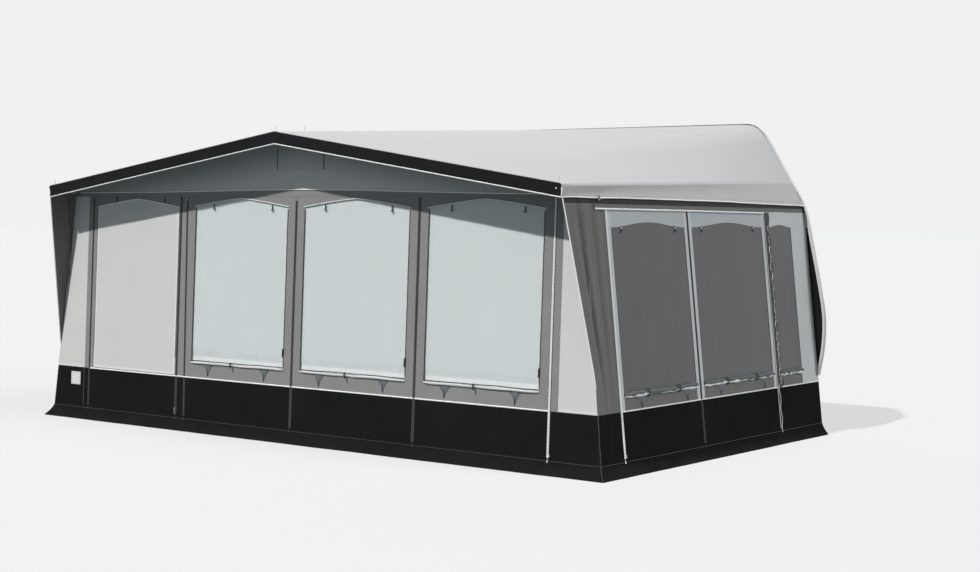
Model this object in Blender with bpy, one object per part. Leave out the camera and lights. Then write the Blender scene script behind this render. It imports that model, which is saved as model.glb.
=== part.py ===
"""Full caravan awning with a gabled canopy: tubular frame, roof, zipped walls, windows and ground skirt.

Metres, +Z up. +X runs along the front wall and +Y back to the caravan. The origin lies on the ground
under the middle of the awning's box.
"""

import math

import bmesh
import bpy
from mathutils import Matrix, Vector

# Main sizes of the awning
SEAM_HEIGHT = 0.110
WALL_RISE = 1.788
BASE_HALF_WIDTH = 2.843
SIDE_LEAN = 0.198
FRONT_LEAN = 0.071
SIDE_LENGTH = 3.275
SKIRT_FLARE = 0.063
MUD_STRIP = 0.323

# Canopy and roof: rises above the front wall's top, and falls below it
CANOPY_REACH = 0.276
TIP_RISE = 0.083
PEAK_RISE = 0.484
VALANCE_HEIGHT = 0.092
EAVE_RADIUS = 0.035
EAVE_REAR_RISE = 0.152
DROP_FRONT_FALL = 0.006
DROP_REAR_FALL = 0.032
DROP_STAND_OFF = 0.023
DROP_BOW = 0.010
SIDE_TOP_FRONT_RISE = 0.024
SIDE_TOP_REAR_FALL = 0.022

# Beading that slides into the caravan's rail, and the rail's outline over the caravan
RAIL_RISE = 0.652
RAIL_PROUD = 0.018
BEADING_DIAMETER = 0.008
BAND_WIDTH = 0.030
BAND_THICKNESS = 0.004
BAND_LAP = 0.012
RAIL_SHARES = (
    (0.0, 1.0),
    (0.40, 1.0),
    (0.68, 1.0),
    (0.755, 0.998),
    (0.787, 0.980),
    (0.812, 0.947),
    (0.882, 0.822),
    (0.931, 0.730),
    (0.962, 0.591),
    (0.989, 0.450),
    (1.0, 0.367),
    (0.998, 0.280),
    (0.984, 0.189),
)

# Cloth, clearances and the overrun of cutters
CLOTH = 0.0028
FOIL = 0.0015
GAP = 0.0003
ZIP_GAP = 0.004
OVERRUN = 0.01

# Front wall: corner strips, zip lines between them, and windows from the mud strip to the wall's top
CORNER_STRIP_LEFT = 0.252
CORNER_STRIP_RIGHT = 0.237
BAY_SHARES = (0.0, 0.2245, 0.4932, 0.7492, 1.0)
DOUBLE_ZIP = 0.085
WINDOW_SILL_RISE = 0.134
WINDOW_HEAD = 0.086
WINDOW_CROWN = 0.064
WINDOW_MARGIN = 0.085
WINDOW_LAP = 0.010

# Side walls: zip lines back from the front wall, and their windows
ZIP_SIDE_FRONT = 0.300
ZIP_SIDE_MIDDLE_SHARE = 0.4214
ZIP_SIDE_REAR_SHARE = 0.7817
SIDE_ZIP_FALL = 0.066
WING_FOOT_RISE = 0.590
SIDE_SILL_RISE = 0.127
SIDE_WINDOW_HEAD = 0.142
SIDE_CROWN = 0.036
SIDE_MARGIN = 0.050
REAR_PANE_WIDTH = 0.390
REAR_PANE_OFFSET = 0.045

# Ventilation window in the gable
VENT_WIDTH = 0.480
VENT_HEIGHT = 0.190
VENT_SILL_RISE = 0.202
VENT_BORDER = 0.012

# Seams and rows of the roof, from the canopy to the caravan
ROOF_ROWS = 8
ROOF_FLAT_COLUMN_SHARES = (0.0, 0.2, 0.4, 0.6, 0.72, 0.78, 0.81, 0.84, 0.875)
ROOF_EDGE_COLUMN_SHARES = (0.91, 0.945, 0.97, 0.98, 0.987, 0.994, 1.0)
ROOF_COLUMN_SHARES = (*ROOF_FLAT_COLUMN_SHARES, *ROOF_EDGE_COLUMN_SHARES)
RAIL_STEPS = 4
EAVE_STEPS = 6
ARCH_STEPS = 12
SIDE_ARCH_STEPS = 10
SKIRT_STEPS = 5
SKIRT_CURVE_POWER = 1.7

# Covers and curtains
COVER_MARGIN_LEFT = 0.045
COVER_MARGIN_RIGHT = 0.014
COVER_HEM = 0.010
ROLL_RADIUS = 0.019
ROLL_FLATNESS_SHARE = 0.62
ROLL_PINCH_SHARE = 0.72
ROLL_END_POWER = 8
CURTAIN_FALL = 0.030
CURTAIN_FOOT_RISE = 0.018
CURTAIN_LAP = 0.015
PLEATS = 9
PLEAT_DEPTH = 0.008
PLEAT_POINTS = 4
PLEAT_CLOSING_SHARE = 1 / 3
CURTAIN_ROW_SHARES = (0.0, 0.5, 1.0)

# Frame tubes and fittings
LEG_RADIUS = 0.014
LEG_WALL = 0.0015
LEG_SET = 0.036
FOOT_RADIUS = 0.0118
LEG_SPLIT_HEIGHT = 0.860
LEG_OVERLAP = 0.240
COLLAR_RADIUS = 0.020
COLLAR_HEIGHT = 0.045
FOOT_PLATE_RADIUS = 0.042
FOOT_PLATE_THICKNESS = 0.006
FOOT_DOME_HEIGHT = 0.022
POLE_RADIUS = 0.0125
POLE_INNER_RADIUS = 0.0105
POLE_STEP_SETBACK = 0.280
POLE_SLEEVE_LENGTH = 0.050
POLE_SLEEVE = 0.0025
REAR_PAD_RADIUS = 0.024
REAR_PAD_THICKNESS = 0.012
PAD_CLEARANCE = 0.002
RAFTER_RADIUS = 0.0105
RAIL_RADIUS = 0.0125
RING_WALL = 0.0040
RING_CLEARANCE = 0.0005
EYE_RADIUS = 0.012
EYE_THICKNESS = 0.005
TONGUE_LENGTH = 0.030
TONGUE_WIDTH = 0.015
SPIKE_RADIUS = 0.0035
SPIKE_CLEARANCE = 0.0008
SPIKE_PROUD = 0.040
SPIKE_SETBACK = 0.022
EYELET_RADIUS = 0.0065
KNOB_RADIUS = 0.019
KNOB_LOBES = 6
KNOB_LOBE_DEPTH = 0.0025
KNOB_THICKNESS = 0.012
KNOB_STAND_OFF = 0.004
STUD_RADIUS = 0.0032
STUD_CLEARANCE = 0.0004
KNOB_LOBE_POINTS = 6
POLE_SLOPE_SHARE = 0.02

# Facets of the round pieces, and the angle above which an edge stays sharp
TUBE_SIDES = 14
SPIKE_SIDES = 8
HOLE_SIDES = 10
PLATE_SIDES = 20
RING_SIDES = 18
RING_BORE_SIDES = 16
SHARP_ANGLE = math.radians(40)

# Zip sliders
SLIDER_WIDTH = 0.0095
SLIDER_HEIGHT = 0.018
SLIDER_TAB = 0.030
SLIDER_TAB_WIDTH = 0.006
SLIDER_EDGE = 0.001
SLIDER_THICKNESS = 0.004
SLIDER_REST = 0.020

WALL_TOP = SEAM_HEIGHT + WALL_RISE
MUD_HEIGHT = SEAM_HEIGHT + MUD_STRIP
TOP_HALF_WIDTH = BASE_HALF_WIDTH - SIDE_LEAN
TIP_HEIGHT = WALL_TOP + TIP_RISE
PEAK_HEIGHT = WALL_TOP + PEAK_RISE
EAVE_REAR_HEIGHT = WALL_TOP + EAVE_REAR_RISE
DROP_FRONT_HEIGHT = WALL_TOP - DROP_FRONT_FALL
DROP_REAR_HEIGHT = WALL_TOP - DROP_REAR_FALL
SIDE_TOP_FRONT = WALL_TOP + SIDE_TOP_FRONT_RISE
SIDE_TOP_REAR = WALL_TOP - SIDE_TOP_REAR_FALL
RAIL_HEIGHT = WALL_TOP + RAIL_RISE
RAIL_HALF_WIDTH = BASE_HALF_WIDTH + RAIL_PROUD
WINDOW_SILL = MUD_HEIGHT + WINDOW_SILL_RISE
WINDOW_SHOULDER = WALL_TOP - WINDOW_HEAD
VENT_SILL = WALL_TOP + VENT_SILL_RISE
CURTAIN_TOP = WALL_TOP - CURTAIN_FALL
CURTAIN_FOOT = WINDOW_SILL + CURTAIN_FOOT_RISE
ZIP_SIDE_MIDDLE = ZIP_SIDE_MIDDLE_SHARE * SIDE_LENGTH
ZIP_SIDE_REAR = ZIP_SIDE_REAR_SHARE * SIDE_LENGTH
SIDE_ZIP_HEIGHT = WALL_TOP - SIDE_ZIP_FALL
WING_FOOT_HEIGHT = SEAM_HEIGHT + WING_FOOT_RISE
SIDE_SILL = MUD_HEIGHT + SIDE_SILL_RISE
SIDE_SHOULDER = SIDE_ZIP_HEIGHT - SIDE_WINDOW_HEAD

MID_Y = (SIDE_LENGTH + FRONT_LEAN - CANOPY_REACH) / 2
FRONT_EDGE = FRONT_LEAN - CANOPY_REACH
ROOF_FRONT = FRONT_EDGE + CLOTH + GAP
ROOF_REAR = SIDE_LENGTH - BAND_THICKNESS - GAP
FRONT_ANGLE = math.atan2(FRONT_LEAN, WALL_RISE)
SIDE_ANGLE = math.atan2(SIDE_LEAN, WALL_RISE)
PANEL_FOOT = SEAM_HEIGHT + GAP + CLOTH * math.sin(SIDE_ANGLE)
PANEL_TOP = WALL_TOP - ZIP_GAP
GABLE_SLOPE = math.atan2(PEAK_HEIGHT - TIP_HEIGHT, TOP_HALF_WIDTH)
GABLE_BACK = (PEAK_HEIGHT + WALL_TOP - SEAM_HEIGHT * 2) / 2 * math.tan(FRONT_ANGLE)
GABLE_SEAM = CLOTH / math.cos(GABLE_SLOPE) + GAP * 2
RAFTER_DEPTH = CLOTH + GAP * 2 + RAFTER_RADIUS
ROOF_ANGLE = math.atan2(RAIL_HEIGHT - PEAK_HEIGHT, SIDE_LENGTH)
EYE_SEAT = GAP + EYE_RADIUS * math.tan(ROOF_ANGLE)
POLE_DEPTH = RAFTER_DEPTH + EYE_THICKNESS * 3 / 2 + GAP + EYE_SEAT + POLE_INNER_RADIUS
PAD_DEPTH = BAND_WIDTH + REAR_PAD_RADIUS + PAD_CLEARANCE

WORDS = {-1: "left", 0: "centre", 1: "right"}

COLOURS = {
    "roof_grey": (0.60, 0.60, 0.61),
    "wall_grey": (0.27, 0.26, 0.25),
    "side_grey": (0.20, 0.20, 0.19),
    "light_grey": (0.60, 0.59, 0.56),
    "black_cloth": (0.02, 0.02, 0.02),
    "foil": (0.55, 0.60, 0.62),
    "dark_foil": (0.11, 0.11, 0.11),
    "curtain_white": (0.62, 0.64, 0.64),
    "steel": (0.55, 0.56, 0.58),
    "black_plastic": (0.03, 0.03, 0.03),
}


def clear_scene():
    for obj in list(bpy.data.objects):
        bpy.data.objects.remove(obj)


def material(slot, roughness=0.85, metallic=0.0):
    """The Principled material of this slot, made once."""
    if slot in bpy.data.materials:
        return bpy.data.materials[slot]
    made = bpy.data.materials.new(slot)
    made.use_nodes = True
    shader = made.node_tree.nodes["Principled BSDF"]
    shader.inputs["Base Color"].default_value = (*COLOURS[slot], 1.0)
    shader.inputs["Roughness"].default_value = roughness
    shader.inputs["Metallic"].default_value = metallic
    return made


def metal():
    return material("steel", 0.35, 1.0)


def plastic():
    return material("black_plastic", 0.5)


def at(x, y, z):
    """A point given across the front, back from the front wall's seam, and up."""
    return Vector((x, y - MID_Y, z))


def add_object(name, mesh, surface, matrix=None):
    obj = bpy.data.objects.new(name, mesh)
    obj.matrix_world = matrix or Matrix.Identity(4)
    obj.data.materials.append(surface)
    bpy.context.scene.collection.objects.link(obj)
    return obj


def mesh_from(name, bm, smooth=False):
    bmesh.ops.recalc_face_normals(bm, faces=bm.faces)
    mesh = bpy.data.meshes.new(name)
    bm.to_mesh(mesh)
    bm.free()
    if smooth:
        mesh.shade_smooth()
        mesh.set_sharp_from_angle(angle=SHARP_ANGLE)
    return mesh


def helper(obj):
    """A cutter or an added shape, which isn't a piece by itself."""
    obj.hide_render = True
    obj.display_type = "WIRE"
    return obj


def boolean(obj, other, operation):
    modifier = obj.modifiers.new(other.name, "BOOLEAN")
    modifier.operation = operation
    modifier.object = helper(other)
    modifier.solver = "EXACT"
    return obj


def frame_of(origin, normal, up):
    """The matrix with local Z along the normal and local Y up the surface."""
    across = up.cross(normal)
    axes = Matrix((across, up, normal)).transposed().to_4x4()
    return Matrix.Translation(origin) @ axes


def front_frame(x=0.0, height=SEAM_HEIGHT):
    """The front wall's outer face: local X across, local Y up the leaning wall."""
    up = Vector((0, math.sin(FRONT_ANGLE), math.cos(FRONT_ANGLE)))
    normal = Vector((0, -math.cos(FRONT_ANGLE), math.sin(FRONT_ANGLE)))
    back = (height - SEAM_HEIGHT) * math.tan(FRONT_ANGLE)
    return frame_of(at(x, back, height), normal, up)


def side_frame(side, y=0.0, height=SEAM_HEIGHT):
    """A side wall's outer face: local X is side times the distance back, local Y up the wall."""
    up = Vector((-side * math.sin(SIDE_ANGLE), 0, math.cos(SIDE_ANGLE)))
    normal = Vector((side * math.cos(SIDE_ANGLE), 0, math.sin(SIDE_ANGLE)))
    return frame_of(at(side * side_x(height), y, height), normal, up)


def side_x(height):
    return BASE_HALF_WIDTH - (height - SEAM_HEIGHT) * math.tan(SIDE_ANGLE)


def up_front(height, base=SEAM_HEIGHT):
    """Distance up the front wall of a height above the ground."""
    return (height - base) / math.cos(FRONT_ANGLE)


def up_side(height, base=SEAM_HEIGHT):
    return (height - base) / math.cos(SIDE_ANGLE)


def plate(name, loops, low, high, matrix, surface):
    """A flat piece: its first loop is the outline and the others are holes, between two levels."""
    outline = bpy.data.curves.new(name, "CURVE")
    outline.dimensions = "2D"
    outline.fill_mode = "BOTH"
    outline.extrude = (high - low) / 2
    for loop in loops:
        spline = outline.splines.new("POLY")
        spline.points.add(len(loop) - 1)
        for point, (x, y) in zip(spline.points, loop):
            point.co = (x, y, 0, 1)
        spline.use_cyclic_u = True
    return add_object(name, outline, surface, matrix @ Matrix.Translation((0, 0, (low + high) / 2)))


def box_loop(left, right, bottom, top):
    return [(left, bottom), (right, bottom), (right, top), (left, top)]


def arched_loop(left, right, bottom, shoulder, crown, steps=ARCH_STEPS):
    """A window's outline, whose top swells from the shoulders to a soft crown."""
    loop = [(left, bottom), (right, bottom)]
    for step in range(steps + 1):
        share = step / steps
        lift = crown * (1 - math.cos(2 * math.pi * share)) / 2
        loop.append((right + (left - right) * share, shoulder + lift))
    return loop


def turned(name, profile, start, axis, surface, sides=TUBE_SIDES):
    """A turned solid: (radius, distance) pairs along the axis, from one closed end to the other."""
    bm = bmesh.new()
    turn = axis.normalized().to_track_quat("Z", "Y").to_matrix()
    rings = []
    for radius, distance in profile:
        count = sides if radius > 0 else 1
        ring = []
        for index in range(count):
            angle = 2 * math.pi * index / sides
            local = Vector((radius * math.cos(angle), radius * math.sin(angle), distance))
            ring.append(bm.verts.new(turn @ local))
        rings.append(ring)
    for low, high in zip(rings, rings[1:]):
        for index in range(sides):
            corners = [
                low[index % len(low)],
                low[(index + 1) % len(low)],
                high[(index + 1) % len(high)],
                high[index % len(high)],
            ]
            kept = list(dict.fromkeys(corners))
            if len(kept) > 2:
                bm.faces.new(kept)
    return add_object(name, mesh_from(name, bm, smooth=True), surface, Matrix.Translation(start))


def rod(name, start, end, radius, surface, sides=TUBE_SIDES):
    length = (end - start).length
    profile = [(0, 0), (radius, 0), (radius, length), (0, length)]
    return turned(name, profile, start, end - start, surface, sides)


def drill(obj, centre, axis, radius, reach, sides=TUBE_SIDES):
    """Cuts a round hole of this reach each way from its centre."""
    along = axis.normalized() * reach
    cutter = rod(obj.name + "_drill", centre - along, centre + along, radius, metal(), sides)
    return boolean(obj, cutter, "DIFFERENCE")


def smooth_line(points, steps):
    """A curve through all these points, with this many steps between each pair."""
    line = []
    padded = [points[0] * 2 - points[1], *points, points[-1] * 2 - points[-2]]
    for before, start, end, after in zip(padded, padded[1:], padded[2:], padded[3:]):
        for step in range(steps):
            t = step / steps
            line.append(
                (
                    start * 2
                    + (end - before) * t
                    + (before * 2 - start * 5 + end * 4 - after) * t**2
                    + (start * 3 - before - end * 3 + after) * t**3
                )
                / 2
            )
    return [*line, points[-1]]


def rail_line():
    """Half of the caravan's rail as (across, up) points, from the middle of the roof down one side."""
    knots = [Vector((across * RAIL_HALF_WIDTH, up * RAIL_HEIGHT)) for across, up in RAIL_SHARES]
    return smooth_line(knots, RAIL_STEPS)


def along_line(line, distance):
    """The point at this distance along a line of points."""
    for start, end in zip(line, line[1:]):
        step = (end - start).length
        if distance <= step:
            return start.lerp(end, distance / step)
        distance -= step
    return line[-1]


def cut_line(line, height):
    """The line's start, down to where it first falls to this height."""
    kept = [line[0]]
    for start, end in zip(line, line[1:]):
        if end.y <= height:
            return [*kept, start.lerp(end, (start.y - height) / (start.y - end.y))]
        kept.append(end)
    return kept


def length_of(line):
    return sum((end - start).length for start, end in zip(line, line[1:]))


def canopy_line():
    """Half of the roof's outline at the canopy: the straight slope, then the rounded eave."""
    turn = math.pi / 2 - GABLE_SLOPE
    back = EAVE_RADIUS * math.tan(turn / 2)
    slope = Vector((math.cos(GABLE_SLOPE), -math.sin(GABLE_SLOPE)))
    corner = Vector((TOP_HALF_WIDTH, TIP_HEIGHT))
    centre = corner - slope * back - Vector((math.sin(GABLE_SLOPE), math.cos(GABLE_SLOPE))) * EAVE_RADIUS
    line = [Vector((0, PEAK_HEIGHT))]
    for step in range(EAVE_STEPS + 1):
        angle = math.pi / 2 - GABLE_SLOPE - turn * step / EAVE_STEPS
        line.append(centre + Vector((math.cos(angle), math.sin(angle))) * EAVE_RADIUS)
    return line


CANOPY_LINE = canopy_line()
RAIL_LINE = rail_line()
ROOF_REAR_LINE = cut_line(RAIL_LINE, EAVE_REAR_HEIGHT)


def roof_ends(share):
    """The front and rear points of one straight roof line, by the share of the half roof's breadth."""
    front = along_line(CANOPY_LINE, share * length_of(CANOPY_LINE))
    rear = along_line(ROOF_REAR_LINE, share * length_of(ROOF_REAR_LINE))
    return front, rear


def roof_point(side, share, back):
    """A point of the roof's outer face. back is the share of the way from the canopy to the caravan."""
    front, rear = roof_ends(share)
    point = front.lerp(rear, back)
    return at(side * point.x, ROOF_FRONT + (ROOF_REAR - ROOF_FRONT) * back, point.y)


def back_share(y):
    return (y - ROOF_FRONT) / (ROOF_REAR - ROOF_FRONT)


def row_shares():
    """The roof's rows, as shares of the way back. One of them lies over the gable panel."""
    shares = [row / ROOF_ROWS for row in range(ROOF_ROWS + 1)]
    shares[1] = back_share(GABLE_BACK)
    return shares


def sheet(name, rows, surface, thickness=CLOTH):
    """A thin closed sheet under the face through these rows of points, each row at one local y."""
    bm = bmesh.new()
    last = len(rows[0]) - 1
    outer, inner = [], []
    for row in rows:
        outer.append([bm.verts.new(point) for point in row])
        under = []
        for index, point in enumerate(row):
            along = row[min(index + 1, last)] - row[max(index - 1, 0)]
            inward = Vector((0, 1, 0)).cross(along).normalized()
            under.append(bm.verts.new(point + inward * thickness))
        inner.append(under)
    for grid in (outer, inner):
        for low, high in zip(grid, grid[1:]):
            for index in range(last):
                bm.faces.new((low[index], low[index + 1], high[index + 1], high[index]))
    for row in (0, -1):
        for index in range(last):
            low, high = outer[row][index : index + 2], inner[row][index : index + 2]
            bm.faces.new((*low, *reversed(high)))
    for row in range(len(rows) - 1):
        for end in (0, -1):
            front = outer[row][end], outer[row + 1][end]
            bm.faces.new((*front, inner[row + 1][end], inner[row][end]))
    return add_object(name, mesh_from(name, bm, smooth=True), surface)


def build_roof():
    """One sheet from the canopy's gable to the caravan's rounded roof, with an eyelet for each spike."""
    rows = []
    for back in row_shares():
        right = [roof_point(1, share, back) for share in ROOF_COLUMN_SHARES]
        left = [roof_point(-1, share, back) for share in reversed(ROOF_COLUMN_SHARES[1:])]
        rows.append(left + right)
    roof = sheet("roof", rows, material("roof_grey"))
    for side in (-1, 0, 1):
        for y, axis in ((canopy_spike_y(), Vector((0, 0, 1))), (leg_top_y(side), leg_axis(side))):
            drill(roof, pole_point(side, y), axis, EYELET_RADIUS, POLE_DEPTH + SPIKE_PROUD)
    return roof


def drop_rows(side):
    """The flap below the eave, which stands off the side wall and carries a piping at its edge."""
    rear_x = along_line(RAIL_LINE, length_of(cut_line(RAIL_LINE, DROP_REAR_HEIGHT))).x
    rows = []
    for back in row_shares():
        eave = roof_point(side, 1.0, back)
        height = DROP_FRONT_HEIGHT + (DROP_REAR_HEIGHT - DROP_FRONT_HEIGHT) * back
        height += DROP_BOW * math.sin(math.pi * back)
        across = (TOP_HALF_WIDTH + DROP_STAND_OFF) * (1 - back) + rear_x * back
        edge = Vector((side * across, eave.y, height))
        top = eave.lerp(edge, GAP / (edge - eave).length)
        row = [top, top.lerp(edge, 1 / 2), edge]
        rows.append(row if side > 0 else row[::-1])
    return rows


def build_valance():
    """The black band along the canopy's gable, rounded at its ends like the eave."""
    top = [(point.x, point.y) for point in CANOPY_LINE]
    tip_foot = (TOP_HALF_WIDTH, TIP_HEIGHT - VALANCE_HEIGHT)
    middle_foot = (0.0, PEAK_HEIGHT - VALANCE_HEIGHT)
    right = [*top, tip_foot]
    left = [(-x, y) for x, y in reversed(right[1:])]
    loop = [*left, *right, middle_foot]
    frame = frame_of(at(0, FRONT_EDGE, 0), Vector((0, -1, 0)), Vector((0, 0, 1)))
    plate("canopy_valance", [loop], -CLOTH, 0, frame, material("black_cloth"))


def roof_section(y):
    """Half of the roof's outer outline at this distance back, from the ridge to the eave."""
    back = back_share(y)
    return [front.lerp(rear, back) for front, rear in (roof_ends(share) for share in ROOF_COLUMN_SHARES)]


def gable_top(x):
    """Distance up the front wall's plane of the gable panel's seam to the roof."""
    points = roof_section(GABLE_BACK)
    for inner, outer in zip(points, points[1:]):
        if x <= outer.x:
            return up_front(inner.lerp(outer, (x - inner.x) / (outer.x - inner.x)).y - GABLE_SEAM)


def build_gable():
    """The infill above the front wall, notched for the middle pole, and its ventilation flap."""
    end = pole_point(1, leg_top_y(1)).x - POLE_RADIUS - ZIP_GAP
    notch = POLE_RADIUS + ZIP_GAP
    foot = up_front(WALL_TOP) + GAP
    folds = [point.x for point in reversed(roof_section(GABLE_BACK)) if notch < point.x < end]
    right = [(end, foot)]
    right += [(x, gable_top(x)) for x in (end, *folds, notch)]
    notch_foot = gable_top(0) - POLE_DEPTH - POLE_RADIUS - ZIP_GAP
    right.append((notch, notch_foot))
    left = [(-x, y) for x, y in reversed(right)]
    half = VENT_WIDTH / 2
    sill = up_front(VENT_SILL)
    wide, high = half - VENT_BORDER, VENT_HEIGHT - VENT_BORDER
    hole = box_loop(-wide, wide, sill + VENT_BORDER, sill + high)
    plate("gable_panel", [right + left, hole], -CLOTH, 0, front_frame(), material("wall_grey"))
    flap = box_loop(-half, half, 0, VENT_HEIGHT)
    hinge = front_frame(0, VENT_SILL) @ Matrix.Translation((0, 0, CLOTH + GAP))
    plate("vent_flap", [flap], -CLOTH, 0, hinge, material("wall_grey"))


def front_zip(share):
    """A front zip's place across the wall, by its share of the way between the corner strips."""
    left, right = CORNER_STRIP_LEFT - TOP_HALF_WIDTH, TOP_HALF_WIDTH - CORNER_STRIP_RIGHT
    return left + (right - left) * share


def bay(number):
    """Left and right edges of a front bay's panel."""
    left, right = BAY_SHARES[number - 1], BAY_SHARES[number]
    return front_zip(left) + ZIP_GAP / 2, front_zip(right) - ZIP_GAP / 2


def window_span(number):
    """Left and right edges of a front bay's window."""
    left, right = bay(number)
    if number == 1:
        return left + WINDOW_MARGIN, right - WINDOW_MARGIN
    if number == 2:
        left += DOUBLE_ZIP
    return left + WINDOW_MARGIN, right - WINDOW_MARGIN


def build_front_bay(number):
    """A panel with its arched window and foil pane. The first is the door, hinged at its left edge."""
    left, right = bay(number)
    window = window_span(number)
    origin = left if number == 1 else (left + right) / 2
    frame = front_frame(origin, PANEL_FOOT)
    left, right = left - origin, right - origin
    sides = [edge - origin for edge in window]
    sill = up_front(WINDOW_SILL, PANEL_FOOT)
    shoulder = up_front(WINDOW_SHOULDER, PANEL_FOOT)
    outer = box_loop(left, right, 0, up_front(PANEL_TOP, PANEL_FOOT))
    hole = arched_loop(*sides, sill, shoulder, WINDOW_CROWN)
    plate(f"front_panel_{number}", [outer, hole], -CLOTH, 0, frame, material("wall_grey"))
    lap = WINDOW_LAP
    foil = arched_loop(sides[0] - lap, sides[1] + lap, sill - lap, shoulder + lap, WINDOW_CROWN)
    back = -CLOTH - GAP
    plate(f"front_pane_{number}", [foil], back - FOIL, back, frame, material("foil", 0.15))
    if number == 1:
        return
    roll = rolled_cover(f"front_cover_roll_{number}", sides[1] - sides[0], material("light_grey"))
    roll.matrix_world = frame @ Matrix.Translation((sum(sides) / 2, sill - ROLL_RADIUS, GAP))
    curtain = pleated_curtain(f"curtain_{number}", sides[1] - sides[0] + CURTAIN_LAP * 2)
    base = up_front(CURTAIN_FOOT, PANEL_FOOT)
    curtain.matrix_world = frame @ Matrix.Translation((sum(sides) / 2, base, back - FOIL - GAP))


def build_closed_cover():
    """The weather cover of the door's window, closed: it lies on the panel down to the mud strip."""
    left, right = bay(1)
    sides = (left + COVER_MARGIN_LEFT, right - COVER_MARGIN_RIGHT)
    middle = sum(sides) / 2
    frame = front_frame(middle, MUD_HEIGHT + COVER_HEM) @ Matrix.Translation((0, 0, GAP + CLOTH))
    shoulder = up_front(WINDOW_SHOULDER, MUD_HEIGHT + COVER_HEM)
    outline = arched_loop(sides[0] - middle, sides[1] - middle, 0, shoulder, WINDOW_CROWN)
    plate("front_cover_1", [outline], -CLOTH, 0, frame, material("light_grey"))


def rolled_cover(name, length, surface, stations=13, sides=10):
    """A cloth cover rolled up and held by a toggle: flat at its back, drawn in at the toggle and ends."""
    bm = bmesh.new()
    rings = []
    for station in range(stations):
        share = station / (stations - 1)
        pinch = math.exp(-((share - 1 / 2) * stations) ** 2)
        swell = 1 - (1 - ROLL_PINCH_SHARE) * (pinch + (2 * share - 1) ** ROLL_END_POWER)
        radius = ROLL_RADIUS * swell
        ring = []
        for index in range(sides):
            angle = 2 * math.pi * index / sides
            out = radius * ROLL_FLATNESS_SHARE * (1 + math.sin(angle))
            ring.append(bm.verts.new(((share - 1 / 2) * length, radius * math.cos(angle), out)))
        rings.append(ring)
    for first, second in zip(rings, rings[1:]):
        for index in range(sides):
            after = (index + 1) % sides
            bm.faces.new((first[index], first[after], second[after], second[index]))
    bm.faces.new(rings[0])
    bm.faces.new(rings[-1])
    return add_object(name, mesh_from(name, bm, smooth=True), surface)


def pleated_curtain(name, width):
    """A hanging curtain behind a pane: soft pleats that open a little towards its foot."""
    height = up_front(CURTAIN_TOP, CURTAIN_FOOT)
    rows = []
    for row_share in CURTAIN_ROW_SHARES:
        row = []
        for step in range(PLEATS * PLEAT_POINTS + 1):
            share = step / (PLEATS * PLEAT_POINTS)
            fold = (1 - math.cos(2 * math.pi * PLEATS * share)) / 2
            depth = PLEAT_DEPTH * fold * (1 - row_share * PLEAT_CLOSING_SHARE)
            row.append(Vector(((share - 1 / 2) * width, row_share * height, -depth)))
        rows.append(row)
    return sheet(name, rows, material("curtain_white"), thickness=FOIL)


def build_front_corner(side):
    """The fixed strip between the wall's corner and the first zip."""
    if side > 0:
        inner = front_zip(BAY_SHARES[-1]) + ZIP_GAP / 2
    else:
        inner = GAP - front_zip(BAY_SHARES[0])
    skin = CLOTH / math.cos(SIDE_ANGLE) + GAP * 2
    base = side_x(PANEL_FOOT) - skin
    top = side_x(PANEL_TOP) - skin
    high = up_front(PANEL_TOP, PANEL_FOOT)
    loop = [(inner, 0), (base, 0), (top, high), (inner, high)]
    loop = [(side * x, y) for x, y in loop]
    name = "front_corner_right" if side > 0 else "front_corner_left"
    plate(name, [loop], -CLOTH, 0, front_frame(0, PANEL_FOOT), material("light_grey"))


def side_panel_edges():
    """Front and rear edges of the two zipped side panels and of the rear one."""
    half = ZIP_GAP / 2
    return (
        (ZIP_SIDE_FRONT + half, ZIP_SIDE_MIDDLE - half),
        (ZIP_SIDE_MIDDLE + half, ZIP_SIDE_REAR - half),
        (ZIP_SIDE_REAR + half, ROOF_REAR),
    )


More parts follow.
